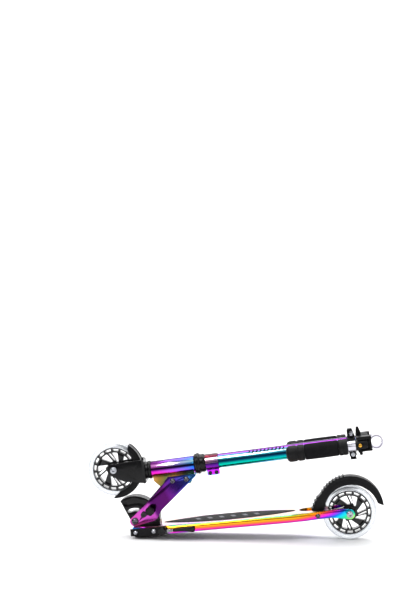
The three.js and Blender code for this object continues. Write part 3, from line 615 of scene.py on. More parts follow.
def foam():
    """Closed-cell foam: matt, with open pores painted darker as shade in them, and a slight mottling."""
    s = Shader("foam")
    cells = s.add("ShaderNodeTexVoronoi", feature="F1")
    cells.inputs["Scale"].default_value = 1100
    s.link(s.place, cells.inputs["Vector"])
    pores = s.ramp(cells.outputs["Distance"], [(0.15, (0, 0, 0)), (0.5, (1, 1, 1))])
    mottle = s.noise(90, 5)
    # the pores are painted darker: painted shade in the cells
    s.color(s.mix(s.times(mottle, pores), rgb("040405"), rgb("161618")))
    s.bump(s.plus(s.times(pores, 0.6), mottle), 0.55, 0.0006)
    s.set(Roughness=0.9, Specular_IOR_Level=0.15)


def grit():
    """Grip tape: dense mineral grit with small pale specks as painted glints, and a printed row of pale
    bars.
    """
    s = Shader("grip_tape")
    x, y, _ = s.split(s.local(DECK))
    grains = s.add("ShaderNodeTexVoronoi", feature="F1")
    grains.inputs["Scale"].default_value = 1600
    s.link(s.place, grains.inputs["Vector"])
    # small pale specks in the grit: painted glints
    grit_glint = s.ramp(s.noise(2600, 2), [(0.62, (0, 0, 0)), (0.72, (1, 1, 1))])
    base = s.mix(s.times(grit_glint, 0.5), rgb("0A0A0C"), rgb("3A3A3F"))
    cycle = s.math("FRACT", s.over(s.plus(x, s.times(y, 0.35)), 26))
    bars = s.below(cycle, 0.34)
    inside = s.below(s.math("ABSOLUTE", y), 9.5)
    inside = s.times(inside, s.below(s.math("ABSOLUTE", s.plus(x, 264)), 78))
    s.color(s.mix(s.times(bars, inside), base, rgb("6E6E74")))
    s.bump(s.plus(grains.outputs["Distance"], s.noise(900, 3)), 0.8, 0.0005)
    s.set(Roughness=0.88)


def clear_tyre():
    """Clear cast polyurethane: faintly milky, greyer where seen edge on as a painted darker reflection,
    with a scuffed tread.
    """
    s = Shader("tyre_clear")
    # greyer where seen edge on: a painted darker reflection
    edge = s.add("ShaderNodeLayerWeight")
    edge.inputs["Blend"].default_value = 0.22
    milky = s.mix(s.noise(35, 4), rgb("D6DAE0"), rgb("F4F6F8"))
    s.color(s.mix(edge.outputs["Facing"], milky, rgb("7C8088")))
    s.roughness(s.between(s.noise(260, 5), 0.03, 0.14))
    s.bump(s.noise(420, 4), 0.08, 0.0002)
    s.set(Transmission_Weight=0.76, IOR=1.4)


deck_coat()
plate_coat()
gusset_coat()
# Tube coats: rainbow hues of the coating, with painted highlights (the pale bands) and painted dark
# reflections (the dark bands) across each tube
banded(
    "neo_head", 18.5,
    "0 B01060 0.1 F0409C 0.24 FF2CC4 0.4 C420B4 0.49 3A0A4A 0.58 1C0628 0.66 D85CD4 0.76 F8A4F0 0.86 "
    "8C2896 1 481058",
    "0 7A20C0 0.12 D03CE0 0.28 3C5CF0 0.4 1E70E0 0.49 081040 0.58 0A1850 0.66 3CA0E0 0.76 B4E8F8 0.86 "
    "2C68B0 1 3C1E98",
    (10, 95), extra=blank_badge
)
banded(
    "neo_collar", 18.6,
    "0 C428E4 0.3 6A1C90 0.48 1C1030 0.6 E09CC0 0.72 F8D8E4 0.84 8A2434 1 341018",
    "0 C428E4 0.3 5A1C98 0.48 141438 0.6 B48CD0 0.72 F0D8F4 0.84 7A2444 1 2C1020",
    (123, 152), extra=lug_edges)
banded(
    "neo_tube", 16,
    "0 0A4E5C 0.1 08948A 0.22 00D4AE 0.36 089488 0.46 06384E 0.53 082848 0.6 147890 0.68 54D4E0 0.76 "
    "D4FAFA 0.85 44B0C4 0.92 6A2A8C 1 2C1050",
    "0 0A3C6C 0.1 0880A0 0.22 00B8D0 0.36 0878A0 0.46 06284E 0.53 082048 0.6 1468A0 0.68 54C0E8 0.76 "
    "D4F4FC 0.85 5490D4 0.92 8A2A9C 1 3C1060",
    (150, 450), extra=slanted_bars
)
bare_metal("bar_silver", "C9C6D2", (0.16, 0.28), (0.05, 1, 1))
bare_metal("ferrule_silver", "D2D0DA", (0.14, 0.26), (0.05, 1, 1))
bare_metal("bolt_steel", "B4B6BC", (0.18, 0.34))
bare_metal("spring_steel", "D2D4D8", (0.12, 0.22))
bare_metal("brass_button", "D9A441", (0.14, 0.26))
bare_metal("dark_steel", "5C5A62", (0.16, 0.3))
plastic("black_metal", "040405", (0.18, 0.3), 500, 0.1, coat=0.05, shine=0.2)
plastic("black_bolt", "08080A", (0.18, 0.3), 700, 0.1, coat=0.1, shine=0.3)
plastic("black_plastic", "050506", (0.3, 0.46), 900, 0.25, shine=0.15)
plastic("fender_plastic", "0A0A0C", (0.34, 0.5), 800, 0.3, shine=0.15)
plastic("core_plastic", "030304", (0.12, 0.24), 200, 0.05, coat=0.12, shine=0.3)
plastic("cap_rubber", "0A0A0B", (0.45, 0.6), 1200, 0.3, shine=0.15)
foam()
grit()
clear_tyre()

# ---- Fasteners ----


def cap_head(x, z, seat, radius, height, shank, length):
    """Socketed button-head screw along y, with its head facing the left."""
    top = seat - height
    points = [(0, seat + length), (shank, seat + length), (shank, seat), (radius, seat)]
    points += [(radius * cos(a), seat - height * sin(a)) for a in DOME_ANGLES]
    points += [(radius * DOME_FLAT, top), (0, top)]
    socket = rod("Y", radius * 0.5, top - 1, top + height * 0.6, n=6)
    return moved(cut(turn("Y", points, n=48), socket), x, 0, z)


def barrel_bolt(x, z, half, radius, height, shank, body, node, where, material):
    """Through bolt with a domed, socketed head at each end."""
    dome = [(radius * cos(a), height * sin(a)) for a in (0, *DOME_ANGLES)]
    right = [(r, half + h) for r, h in dome] + [(radius * DOME_FLAT, half + height), (0, half + height)]
    left = [(r, -y) for r, y in reversed(right)]
    points = left + [(shank, -half), (shank, half)] + right
    solid = turn("Y", points, n=56)
    for side in (-1, 1):
        a, b = sorted((side * (half + height + 1), side * (half + height * 0.2)))
        solid = cut(solid, rod("Y", radius * 0.56, a, b, n=6))
    return place(moved(solid, x, 0, z), where, node, body, material, bevel=0.2)


# ---- Wheels ----


def wheel_core():
    """Rim pierced by small windows, four pairs of thin bars and four thick swept spokes."""
    half = 9
    side = [
        (12, 7.5), (15, WEB_HALF), (33.5, WEB_HALF), (36.8, half), (CORE_RADIUS - 0.8, half),
        (CORE_RADIUS, half - 0.8)
    ]
    bore = AXLE_RADIUS + GAP
    hub = [(bore, HUB_HALF), (9.6, HUB_HALF), (11.2, HUB_HALF - 0.3), (12, HUB_HALF - 1.2)]
    profile = hub + side
    solid = turn("Y", profile + [(r, -y) for r, y in reversed(profile)], n=144)
    step = 360 / WINDOWS
    tools = []
    for i in range(WINDOWS):
        a = i * step
        outer = arc(0, 0, 45.2, a + 3, a + step - 3, 6)
        inner = arc(0, 0, 40.8, a + step - 3.4, a + 3.4, 6)
        tools.append(slab("Y", outer + inner, -20, 20))
    for a in (0, 90, 180, 270):
        gaps = (
            (arc(0, 0, 37, a + 20, a + 46, 8), arc(0, 0, 17.5, a + 22, a + 4, 6)),
            (arc(0, 0, 37, a + 72, a + 93, 7), arc(0, 0, 17.5, a + 66, a + 52, 5)),
            (arc(0, 0, 37, a + 98, a + 105, 3), arc(0, 0, 20, a + 86, a + 74, 3)),
        )
        tools += [slab("Y", outer + inner, -20, 20) for outer, inner in gaps]
    # shielded bearing faces sunk in both ends of the hub
    for side_end in (-1, 1):
        y0, y1 = sorted((side_end * (HUB_HALF - 0.7), side_end * 20))
        tools.append(tube("Y", 9.2, 5.4, y0, y1))
    return cut(solid, *tools)


def tyre_shape():
    t = 12
    crown = [
        (TYRE_RADIUS - 8.5 + 8.5 * cos(a), 12 * sin(a)) for a in [radians(d) for d in range(-80, 81, 8)]
    ]
    profile = [(TYRE_INNER, -t + 2), (TYRE_INNER + 0.8, -t + 0.4), (TYRE_INNER + 2.2, -t + 0.1)]
    profile += [(r, y) for r, y in crown]
    profile += [(TYRE_INNER + 2.2, t - 0.1), (TYRE_INNER + 0.8, t - 0.4), (TYRE_INNER, t - 2)]
    return turn("Y", profile, n=160)


def axle_bolt(half):
    head = turn(
        "Y",
        [
            (0, -half - 4.5), (4.6, -half - 4.5), (6.6, -half - 3.6), (7.5, -half - 2.2), (7.5, -half),
            (0, -half)
        ]
    )
    nut = join(rod("Y", 13 / sqrt(3), half, half + 5, n=6), rod("Y", 4, half, half + 6.5, n=40))
    solid = join(head, rod("Y", AXLE_RADIUS, -half - 1, half + 1, n=48), nut)
    return cut(solid, rod("Y", 3.7, -half - 6, -half - 1.2, n=6))


def wheel(end, body, where, x, z, turn_y):
    place(
        moved(wheel_core(), x, 0, z, turn_y), where, f"{end}_wheel_core", body, "core_plastic", bevel=0.35
    )
    place(moved(tyre_shape(), x, 0, z), where, f"{end}_wheel_tyre", body, "tyre_clear", bevel=0)


wheel("rear", "rear_wheel", DECK, 0, 0, 15)
wheel("front", "front_wheel", COLUMN, *FRONT_AXLE, 0)
place(axle_bolt(32.4), DECK, "rear_axle_bolt", "deck", "bolt_steel", bevel=0.25)
place(
    moved(axle_bolt(25.9), FRONT_AXLE[0], 0, FRONT_AXLE[1]), COLUMN, "front_axle_bolt", "steering",
    "bolt_steel", bevel=0.25
)
for side, node in ((-1, "rear_spacer_left"), (1, "rear_spacer_right")):
    a, b = sorted((side * (HUB_HALF + GAP), side * 23.9))
    place(tube("Y", 7, AXLE_RADIUS + GAP, a, b), DECK, node, "deck", "bolt_steel", bevel=0.4)

# ---- Deck ----


def deck_platform():
    plan = [
        (-480, 28), (-476, 33), (-462, 39.5), (-444, 45), (-420, 48.5), (-385, 50), (-130, 50),
        (-100, 47.5), (-74, 41), (-50, 36), (-20, 33), (-8, 33)
    ]
    outline = [(x, -y) for x, y in plan] + [(x, y) for x, y in reversed(plan)]
    slab_top = rounded(slab("Z", outline, DECK_BOTTOM, DECK_TOP), DECK_EDGE, segments=8, angle=50)
    end = arc(0, 0, 11, 78, -108, 32) + [
        (-14, -8.6), (-26, -6.2), (-40, DECK_BOTTOM), (-44, 0), (-40, 12), (-12, 12.4)
    ]
    solid = join(
        slab_top,
        *[
            rounded(slab("Y", end, a, b), 1.2, segments=3, angle=60)
            for a, b in ((-32.6, -24.2), (24.2, 32.6))
        ]
    )
    tools = [
        block(-90, 30, -WHEEL_SLOT, WHEEL_SLOT, -20, 30), block(-72, 30, -24.2, 24.2, -20, 30),
        rod("Z", WHEEL_SLOT, -20, 30, (-90, 0))
    ]
    tools += [block(-400, -130, a, b, DECK_BOTTOM - 1, 8.5) for a, b in ((-40, -12), (12, 40))]
    tools += [block(-486, -398, -60, -40.8, -20, 30), block(-400, -328, -60, -46.4, -20, 8.6)]
    tools += [rod("Z", BOLT_HOLE, -20, 30, (x, 0)) for x in BLOCK_BOLT_X]
    tools += [rod("Y", BOLT_HOLE, -60, 60, BRAKE_PIVOT), rod("Y", AXLE_RADIUS + GAP, -60, 60)]
    tools += [rod("Y", SCREW_HOLE, -60, -24, (x, SCREW_Z)) for x in SCREW_X]
    # fine extruded grooves along the top, either side of the tape
    tools += [block(-440, -96, y - 0.35, y + 0.35, 12.9, 20) for y in (-42.5, 42.5)]
    return cut(solid, *tools)


place(deck_platform(), DECK, "deck_platform", "deck", "neo_deck", bevel=0.5)


def lens(x0, x1, half, power, steps):
    points = [(x0 + (x1 - x0) * i / steps, -half * sin(pi * i / steps) ** power) for i in range(steps + 1)]
    return points + [(x, -y) for x, y in reversed(points[1:-1])]


place(
    slab("Z", lens(-410, -118, 37, 0.75, 72), DECK_TOP + 0.1, DECK_TOP + 0.9), DECK, "grip_tape", "deck",
    "grip_tape", bevel=0.25
)


def folding_block():
    px, pz = FOLD_PIVOT
    foot = DECK_TOP + GAP
    outline = [(-478.5, foot), (-417, foot), (-417, 35)] + arc(px, pz, BLOCK_RADIUS, 13, 119, 48)
    outline += [(-501, 71), (-498.5, 66), (-482, 27)]
    ends = (LOCK_ANGLE, LOCK_ANGLE + FOLD_TRAVEL)
    tools = [rod("Y", FOLD_HOLE, -30, 30, (px, pz))]
    tools.append(
        slab(
            "Y", slot_outline(px, pz, SLOT_RADIUS, SLOT_HALF, SLOT_ANGLE, SLOT_ANGLE + FOLD_TRAVEL), -30, 30
        )
    )
    tools.append(
        slab("Y", slot_outline(px, pz, LOCK_RADIUS, SLOT_HALF, *ends), -BLOCK_HALF - 1, -BLOCK_HALF + 1.5)
    )
    for angle in ends:
        tools.append(rod("Y", SLOT_HALF, -BLOCK_HALF - 1, -7, polar(px, pz, LOCK_RADIUS, angle)))
    # lightening grooves in the curved rim
    tools += [
        tube("Y", BLOCK_RADIUS + 4, BLOCK_RADIUS - 0.9, y - 0.8, y + 0.8, (px, pz), n=120)
        for y in (-9, 0, 9)
    ]
    tools += [rod("Z", BOLT_HOLE, -20, top, (x, 0)) for x, top in zip(BLOCK_BOLT_X, (18, 30))]
    return cut(slab("Y", outline, -BLOCK_HALF, BLOCK_HALF), *tools)


place(folding_block(), DECK, "folding_block", "deck", "black_metal", bevel=0.7)


def backing_plate():
    outline = [
        (-476, -22), (-470, -28), (-424, -28), (-416, -20), (-416, 20), (-424, 28), (-470, 28), (-476, 22)
    ]
    low, high = DECK_BOTTOM - GAP - 5, DECK_BOTTOM - GAP
    tools = []
    for x in BLOCK_BOLT_X:
        tools += [rod("Z", BOLT_HOLE, -20, 20, (x, 0)), rod("Z", 6, -20, high - 1.6, (x, 0))]
    return cut(slab("Z", outline, low, high), *tools)


place(backing_plate(), DECK, "block_backing_plate", "deck", "black_metal", bevel=0.6)
for which, x, top in zip(("front", "rear"), BLOCK_BOLT_X, (17, 24)):
    high = DECK_BOTTOM - GAP
    bolt = join(rod("Z", 5.4, high - 4.9, high - 1.9, (x, 0)), rod("Z", 3, high - 3, top, (x, 0)))
    bolt = cut(bolt, rod("Z", 2.4, high - 6, high - 3.4, (x, 0), n=6))
    place(bolt, DECK, f"backing_bolt_{which}", "deck", "black_bolt", bevel=0.4)
barrel_bolt(*FOLD_PIVOT, PLATE_OUTER + GAP, 8, 4.6, 5, "deck", "fold_pivot_bolt", DECK, "dark_steel")


def kickstand():
    kx, kz, outer = -412, 3, -48.6
    plan = [(-482, -41.1), (-480, -43.5), (-470, -47), (-458, outer), (-404, outer), (-404, -41.1)]
    tools = [rod("Y", 3.2, -60, -30, (kx, kz))]
    for x, seat in zip(SCREW_X, (-43.6, -46.4)):
        tools += [rod("Y", SCREW_HOLE, -60, -30, (x, SCREW_Z)), rod("Y", 6, -60, seat, (x, SCREW_Z))]
    place(
        cut(slab("Z", plan, -3.4, 12.2), *tools), DECK, "kickstand_bracket", "deck", "black_plastic",
        bevel=0.9
    )
    for which, screw_x, seat, length in (("front", SCREW_X[0], -43.9, 16), ("rear", SCREW_X[1], -46.7, 19)):
        screw = cap_head(screw_x, SCREW_Z, seat, 5.4, 3.2, 2.5, length)
        place(screw, DECK, f"kickstand_screw_{which}", "deck", "bolt_steel", bevel=0.15)
    cap = -outer + GAP
    eye = join(rod("Y", 8, -cap - 6.4, -cap, (kx, kz)), rod("Y", 2.9, -cap - 1, -42, (kx, kz)))
    eye = cut(eye, rod("Y", 3, -cap - 8, -cap - 4.6, (kx, kz), n=6))
    shaft = rod("X", 2.4, kx + 4, -372, (-51.6, kz))
    # leg end that thickens and curves into a rounded foot
    top = [(-386, kz + 3.1), (-372, kz + 3.6), (-356, kz + 4.4), (-345, kz + 5.2), (-340, kz + 5.3)]
    sole = [
        (-339.1, kz + 2), (-339, kz - 4), (-341, kz - 7), (-345, kz - 7.3), (-352, kz - 5.6),
        (-362, kz - 4.3), (-374, kz - 3.5), (-386, kz - 3.2)
    ]
    foot = slab("Y", top + sole, -cap - 6.2, -cap - 0.4)
    leg = join(eye, shaft, rounded(foot, 1.8, segments=3, angle=40))
    place(leg, DECK, "kickstand_leg", "kickstand", "black_metal", bevel=0.4)
    turns, length = 5, 13.4
    coil = []
    for i in range(turns * 24 + 1):
        a = 2 * pi * i / 24
        coil.append((-400.5 + length * i / (turns * 24), -51.6 + 3.3 * cos(a), kz + 3.3 * sin(a)))
    place(sweep(coil, 0.85), DECK, "kickstand_spring", "kickstand", "spring_steel", bevel=0, smooth=60)


kickstand()


def brake():
    bx, bz = BRAKE_PIVOT
    cx, cz = SHELL_CENTRE
    half, inside = 16.8, 14.4
    outline = [(-81.5, 12), (-79, 18), (-75.5, 25.5), (-71.5, 32.5), (-66.5, 39.5)]
    outline += arc(cx, cz, SHELL_OUTER, SHELL_START, 1, 110)
    outline += arc(4.5, 1.5, 60, 14, 165, 60) + [
        (-62, -2.5), (-68, -3.4), (-74, -3), (-78.5, -0.5), (-81, 3)
    ]
    solid = rounded(slab("Y", outline, -half, half), 3.4, segments=6, angle=70)
    hollow = [(-95, -30), (-95, 10), (-79.5, 10), (-78.6, 12), (-73.2, 24.6), (-64.6, 37.8)]
    hollow += arc(cx, cz, SHELL_INNER, SHELL_START, -14, 110) + [(60, -30)]
    solid = cut(solid, slab("Y", hollow, -inside, inside))
    # cast treads over the part the heel presses
    ribs = []
    for i in range(8):
        at = polar(cx, cz, SHELL_OUTER + 0.6, SHELL_START - RIB_STEP * i)
        ribs.append(rod("Y", 1.9, -RIB_HALF, RIB_HALF, at, n=16))
    for at in ((-80.8, 15.5), (-77.7, 23), (-73.4, 31), (-68, 38.6)):
        ribs.append(rod("Y", 1.7, -RIB_HALF, RIB_HALF, at, n=16))
    pad = slab("Y", arc(cx, cz, 71, 76, 42, 10) + arc(0, 0, 62.8, 46, 74, 10), -9, 9)
    # a pressed line along each cheek
    grooves = [
        slab("Y", arc(cx, cz, 67.4, 146, 8, 80) + arc(cx, cz, 66.4, 8, 146, 80), a, b)
        for a, b in ((-18, -16.3), (16.3, 18))
    ]
    solid = cut(join(solid, *ribs, pad), *grooves, rod("Y", 3.4, -30, 30, (bx, bz)))
    place(solid, DECK, "brake_fender", "brake", "fender_plastic", bevel=0.4)
    barrel_bolt(bx, bz, 43.4, 5.2, 2.6, 3, "deck", "brake_pivot_pin", DECK, "dark_steel")
    # torsion spring: close turns round the pin and one arm forward
    wire = 1.1
    turns = [
        (bx + 5.2 * cos(t), -8.5 + 17 * t / (2 * pi * 7), bz + 5.2 * sin(t))
        for t in [2 * pi * i / 24 for i in range(7 * 24 + 1)]
    ]
    arm = [(bx - 20, -9, bz + 3.6), (bx - 12, -9, bz + 4.6), (bx - 5, -8.9, bz + 5.2), (bx, -8.7, bz + 5.2)]
    spring = join(sweep(turns, wire), sweep(arm, wire))
    place(spring, DECK, "brake_spring", "deck", "spring_steel", bevel=0, smooth=60)


brake()

# ---- Neck: side plates, head tube and headset ----


def on_block(radius, angle):
    """A point of the folding block as the folded column sees it."""
    return polar(*PIVOT_IN_COLUMN, radius, angle - (STEER_TILT - DECK_TILT))


slot_at = on_block(SLOT_RADIUS, SLOT_ANGLE)
lock_at = on_block(LOCK_RADIUS, LOCK_ANGLE)
PLATE_BOLTS = (("front", 46.5, -28.4), ("rear", 77, -28.4))


def side_plates():
    px, pz = PIVOT_IN_COLUMN
    outline = arc(px, pz, 11, 130, 262, 24)
    outline += [
        (-6, -110.5), (0.5, -107.5), (5, -102), (14, -89), (98.5, -24), (99.5, -20.5), (94.5, -19.2),
        (36, -19.2), (24, -33), (-20, -72)
    ]
    holes = [(FOLD_HOLE, px, pz), (PIN_HOLE, *slot_at)] + [(BOLT_HOLE, x, z) for _, x, z in PLATE_BOLTS]
    for side, y0, y1 in (("left", -PLATE_OUTER, -PLATE_INNER), ("right", PLATE_INNER, PLATE_OUTER)):
        tools = [rod("Y", r, -30, 30, (x, z)) for r, x, z in holes]
        if side == "left":
            tools.append(rod("Y", PIN_HOLE, -30, 0, lock_at))
        place(
            cut(slab("Y", outline, y0, y1), *tools), COLUMN, f"side_plate_{side}", "neck", "neo_plate",
            bevel=0.7
        )


side_plates()
for which, x, z in PLATE_BOLTS:
    barrel_bolt(x, z, PLATE_OUTER + GAP, 6, 3.4, 3, "neck", f"plate_bolt_{which}", COLUMN, "dark_steel")
slot_bolt_half = PLATE_OUTER + GAP
slot_bolt = join(
    rod("Y", 4, -slot_bolt_half - 1, slot_bolt_half + 1, slot_at),
    rod("Y", 6, -slot_bolt_half - 3.6, -slot_bolt_half, slot_at),
    rod("Y", 6, slot_bolt_half, slot_bolt_half + 3.6, slot_at),
)
place(
    cut(slot_bolt, rod("Y", 2.6, -slot_bolt_half - 5, -slot_bolt_half - 1.6, slot_at, n=6)), COLUMN,
    "slot_bolt", "neck", "black_bolt", bevel=0.6
)


def lock_knob():
    knob = turn(
        "Y",
        [
            (0, -37.4), (7.4, -37.4), (9.2, -36.6), (10, -35.2), (10, -30.6), (9.2, -29.4), (8, -28.8),
            (0, -28.8)
        ]
    )
    flutes = [
        rod("Y", 2.2, -40, -20, (10.8 * cos(a), 10.8 * sin(a)), n=24)
        for a in [pi * i / 3 for i in range(6)]
    ]
    knob = cut(knob, *flutes, tube("Y", 6.6, 5.2, -39, -36.6))
    solid = join(knob, rod("Y", 3.9, -30, -BLOCK_HALF + 0.9))
    place(
        moved(solid, lock_at[0], 0, lock_at[1]), COLUMN, "lock_pin_knob", "lock_pin", "black_metal",
        bevel=0.45
    )


lock_knob()
place(
    turn(
        "X", [(HEADSET_BORE, 2), (18.1, 2), (18.5, 2.6), (18.5, 96.7), (18.1, 97.3), (HEADSET_BORE, 97.3)],
        n=96
    ),
    COLUMN, "head_tube", "neck", "neo_head", bevel=0
)
gusset = slab(
    "Y", [(4, -12), (96, -12), (96, -22), (86, -38), (34, -46), (20, -40), (5, -24)], -PLATE_INNER + GAP,
    PLATE_INNER - GAP
)
gusset = cut(
    gusset, rod("X", HEAD_TUBE_RADIUS + GAP, -20, 120, n=96),
    *[rod("Y", BOLT_HOLE, -30, 30, (x, z)) for _, x, z in PLATE_BOLTS]
)
place(gusset, COLUMN, "neck_gusset", "neck", "neo_gusset", bevel=0.8)
place(
    turn(
        "X",
        [
            (HEADSET_BORE, -5.2), (19.3, -5.2), (20.2, -4.2), (20.5, -3.2), (20.5, -0.7), (19.6, 0.6),
            (18.5, 1.7), (HEADSET_BORE, 1.7)
        ],
        n=96
    ),
    COLUMN, "headset_lower_cup", "neck", "black_metal", bevel=0.2
)
place(
    turn(
        "X",
        [
            (HEADSET_BORE, 97.6), (18.5, 97.6), (20.6, 98.9), (22, 100.5), (22.5, 102.1), (22.5, 103.7),
            (22, 104.3), (HEADSET_BORE, 104.3)
        ],
        n=96
    ),
    COLUMN, "headset_upper_cup", "neck", "black_metal", bevel=0.2
)


def top_nut():
    foot = 104.6
    points = [
        (13, 0), (23.1, 0), (23.5, 0.7), (23.5, 3.3), (22.6, 4.9), (20.5, 7.2), (20.5, 14.5), (19.9, 15.9),
        (18, 18), (13, 18)
    ]
    solid = turn("X", [(r, foot + x) for r, x in points], n=96)
    return cut(solid, *[tube("X", 24, 19.7, x - 0.5, x + 0.5, n=96) for x in (113.6, 116.4)])


place(top_nut(), COLUMN, "headset_top_nut", "steering", "black_metal", bevel=0.25)

# ---- Fork and front fender ----


def fork():
    fx, fz = FRONT_AXLE
    crown = slab("Y", [(-11, -24), (-11, 24.6), (-16, 26), (-16, -26)], -26, 26)
    crown = join(crown, rod("X", 19, -12, -5.8, n=96))
    side = [
        (-11, -24), (-11, 24.6), (-16, 27), (-50, 27)
    ] + arc(fx, fz, 14, 70, 250, 32) + [(-60, -16), (-16, -25)]
    legs = [
        rounded(slab("Y", side, a, b), 1.3, segments=3, angle=60) for a, b in ((-25, -17.6), (17.6, 25))
    ]
    bosses = [tube("Y", 11, 8.4, -25.6, -24.2, (-43, -1)), tube("Y", 11, 8.4, 24.2, 25.6, (-43, -1))]
    hubs = [rod("Y", 9, -18.5, -HUB_HALF - GAP, (fx, fz)), rod("Y", 9, HUB_HALF + GAP, 18.5, (fx, fz))]
    solid = join(
        rod("X", 12.7, -14, 137, n=96), crown, *legs, *bosses, *hubs, rod("Z", 2, 20, 31.5, (-13.5, -15))
    )
    recess = [rod("Y", 4.6, -30, -24.4, (-43, -1)), rod("Y", 4.6, 24.4, 30, (-43, -1))]
    return cut(solid, rod("X", 10.2, -30, 150), rod("Y", AXLE_RADIUS + GAP, -40, 40, (fx, fz)), *recess)


place(fork(), COLUMN, "fork", "steering", "black_metal", bevel=0.6)


def front_fender():
    """Curved band with deep side lips that taper at both ends."""
    fx, fz = FRONT_AXLE
    band = slab(
        "Y", arc(fx, fz, FENDER_OUTER, 53, -98, 110) + arc(fx, fz, FENDER_INNER, -98, 53, 110), -15.5, 15.5
    )

    def at(radius, angle):
        return polar(fx, fz, radius, angle)

    outline = arc(fx, fz, FENDER_OUTER, 52, -97, 100)
    outline += [
        at(58, -94), at(54, -89), at(51, -84)
    ] + arc(fx, fz, 48.5, -78, 37, 60) + [at(50, 43), at(54, 49)]
    lips = [slab("Y", outline, a, b) for a, b in ((-16.9, -15.2), (15.2, 16.9))]
    # a shallow pressed step along the middle
    groove = slab(
        "Y", arc(fx, fz, FENDER_OUTER + 2, 50, -95, 96) + arc(fx, fz, FENDER_OUTER - 0.5, -95, 50, 96), -6,
        6
    )
    return cut(join(band, *lips), rod("X", 12.7, -30, 0, n=96), groove)


place(front_fender(), COLUMN, "front_fender", "steering", "black_plastic", bevel=0.45)

# ---- Column, clamps and T-bar ----


def collar():
    a, b = COLLAR
    lug = slab("Y", [(a, -10), (b, -10), (b, -27), (b - 2, -29), (a + 2, -29), (a, -27)], -8.5, 8.5)
    solid = join(rod("X", 18.6, a, b, n=96), rounded(lug, 1.2, angle=60))
    tools = [rod("X", TUBE_RADIUS + GAP, a - 1, b + 1, n=96), block(a - 1, b + 1, -1, 1, -40, 0)]
    for _, x in COLLAR_BOLTS:
        tools += [rod("Y", 2.7, -20, 20, (x, COLLAR_BOLT_Z)), rod("Y", 4.6, -20, -7, (x, COLLAR_BOLT_Z))]
    tools.append(tube("X", 20, 18, 136.6, 138.4, n=96))
    place(cut(solid, *tools), COLUMN, "collar_clamp", "steering", "neo_collar", bevel=0.6)
    for which, x in COLLAR_BOLTS:
        bolt = join(
            rod("Y", 4.3, -10.4, -7.3, (x, COLLAR_BOLT_Z)), rod("Y", 2.4, -8, 8.4, (x, COLLAR_BOLT_Z))
        )
        place(
            cut(bolt, rod("Y", 2, -12, -8.6, (x, COLLAR_BOLT_Z), n=6)), COLUMN, f"collar_bolt_{which}",
            "steering", "black_bolt", bevel=0.35
        )


collar()
column = cut(tube("X", TUBE_RADIUS, 14.2, 124, 457, n=128), block(425, 470, -1.2, 1.2, -30, 0))
place(column, COLUMN, "column_tube", "steering", "neo_tube", bevel=0.3)


def height_clamp():
    a, b = QR
    head = slab(
        "Y", [(a + 1.5, 12), (b - 1, 12), (b - 1, 22), (b - 5, 34.5), (a + 3.5, 34.5), (a + 1.5, 30)], -10,
        10
    )
    ears = slab(
        "Y", [(a + 1, -12), (b - 1, -12), (b - 1, -25.5), (b - 4, -27.2), (a + 4, -27.2), (a + 1, -25.5)],
        -8, 8
    )
    solid = join(
        rod("X", 18.7, a, b, n=96), rounded(head, 1.6, segments=3, angle=60),
        rounded(ears, 1.2, segments=3, angle=60)
    )
    tools = [rod("X", TUBE_RADIUS + GAP, a - 1, b + 1, n=96), block(a - 1, b + 1, -1.2, 1.2, -40, 0)]
    tools += [rod("Y", 3.1, -20, 20, (449.5, 24)), rod("Y", 3.1, -20, 20, (447.5, -22.6))]
    place(cut(solid, *tools), COLUMN, "height_clamp_band", "steering", "black_metal", bevel=0.5)
    bolt = join(rod("Y", 9.4 / sqrt(3), -14, -10.3, n=6), rod("Y", 2.8, -15, 10.8), rod("Y", 5, 10.3, 13.2))
    place(moved(bolt, 449.5, 0, 24), COLUMN, "height_clamp_bolt", "steering", "bolt_steel", bevel=0.35)
    pin = join(rod("Y", 2.8, -11.6, 8.4), rod("Y", 4.6, -11.6, -8.3))
    place(moved(pin, 447.5, 0, -22.6), COLUMN, "height_clamp_cam_pin", "steering", "bolt_steel", bevel=0.35)
    profile = arc(12.6, -22.6, 3.7, 70, 215, 20)
    profile += [
        (9.2, -27.8), (6.5, -28.6), (3, -29.3), (-4, -29.7), (-12, -30), (-16, -30.6), (-16.2, -31.4),
        (-16, -32.4)
    ]
    profile += [
        (-12, -33.4), (-4, -33.4), (4, -33), (9, -32), (13, -30.6), (15.6, -28.6), (16.8, -26.5), (17, -24),
        (16.8, -22), (15, -19.2)
    ]
    place(
        slab("X", profile, 441, 454), COLUMN, "height_clamp_lever", "clamp_lever", "black_metal", bevel=0.9
    )


height_clamp()
stem = cut(
    tube("X", STEM_RADIUS, 11.8, 141, BAR_STATION - 6, n=128),
    rod("Y", BAR_RADIUS + GAP, -30, 30, (BAR_STATION, 0), n=128)
)
place(stem, COLUMN, "bar_stem", "t_bar", "bar_silver", bevel=0.2)
cross = tube("Y", BAR_RADIUS, 11.6, -BAR_HALF, BAR_HALF, (BAR_STATION, 0), n=128)
cross = cut(
    cross, *[rod("X", 3.6, BAR_STATION, BAR_STATION + 30, (y, 0)) for y in (-BUTTON_HOLE_Y, BUTTON_HOLE_Y)]
)
place(cross, COLUMN, "bar_cross_tube", "t_bar", "bar_silver", bevel=0.4)


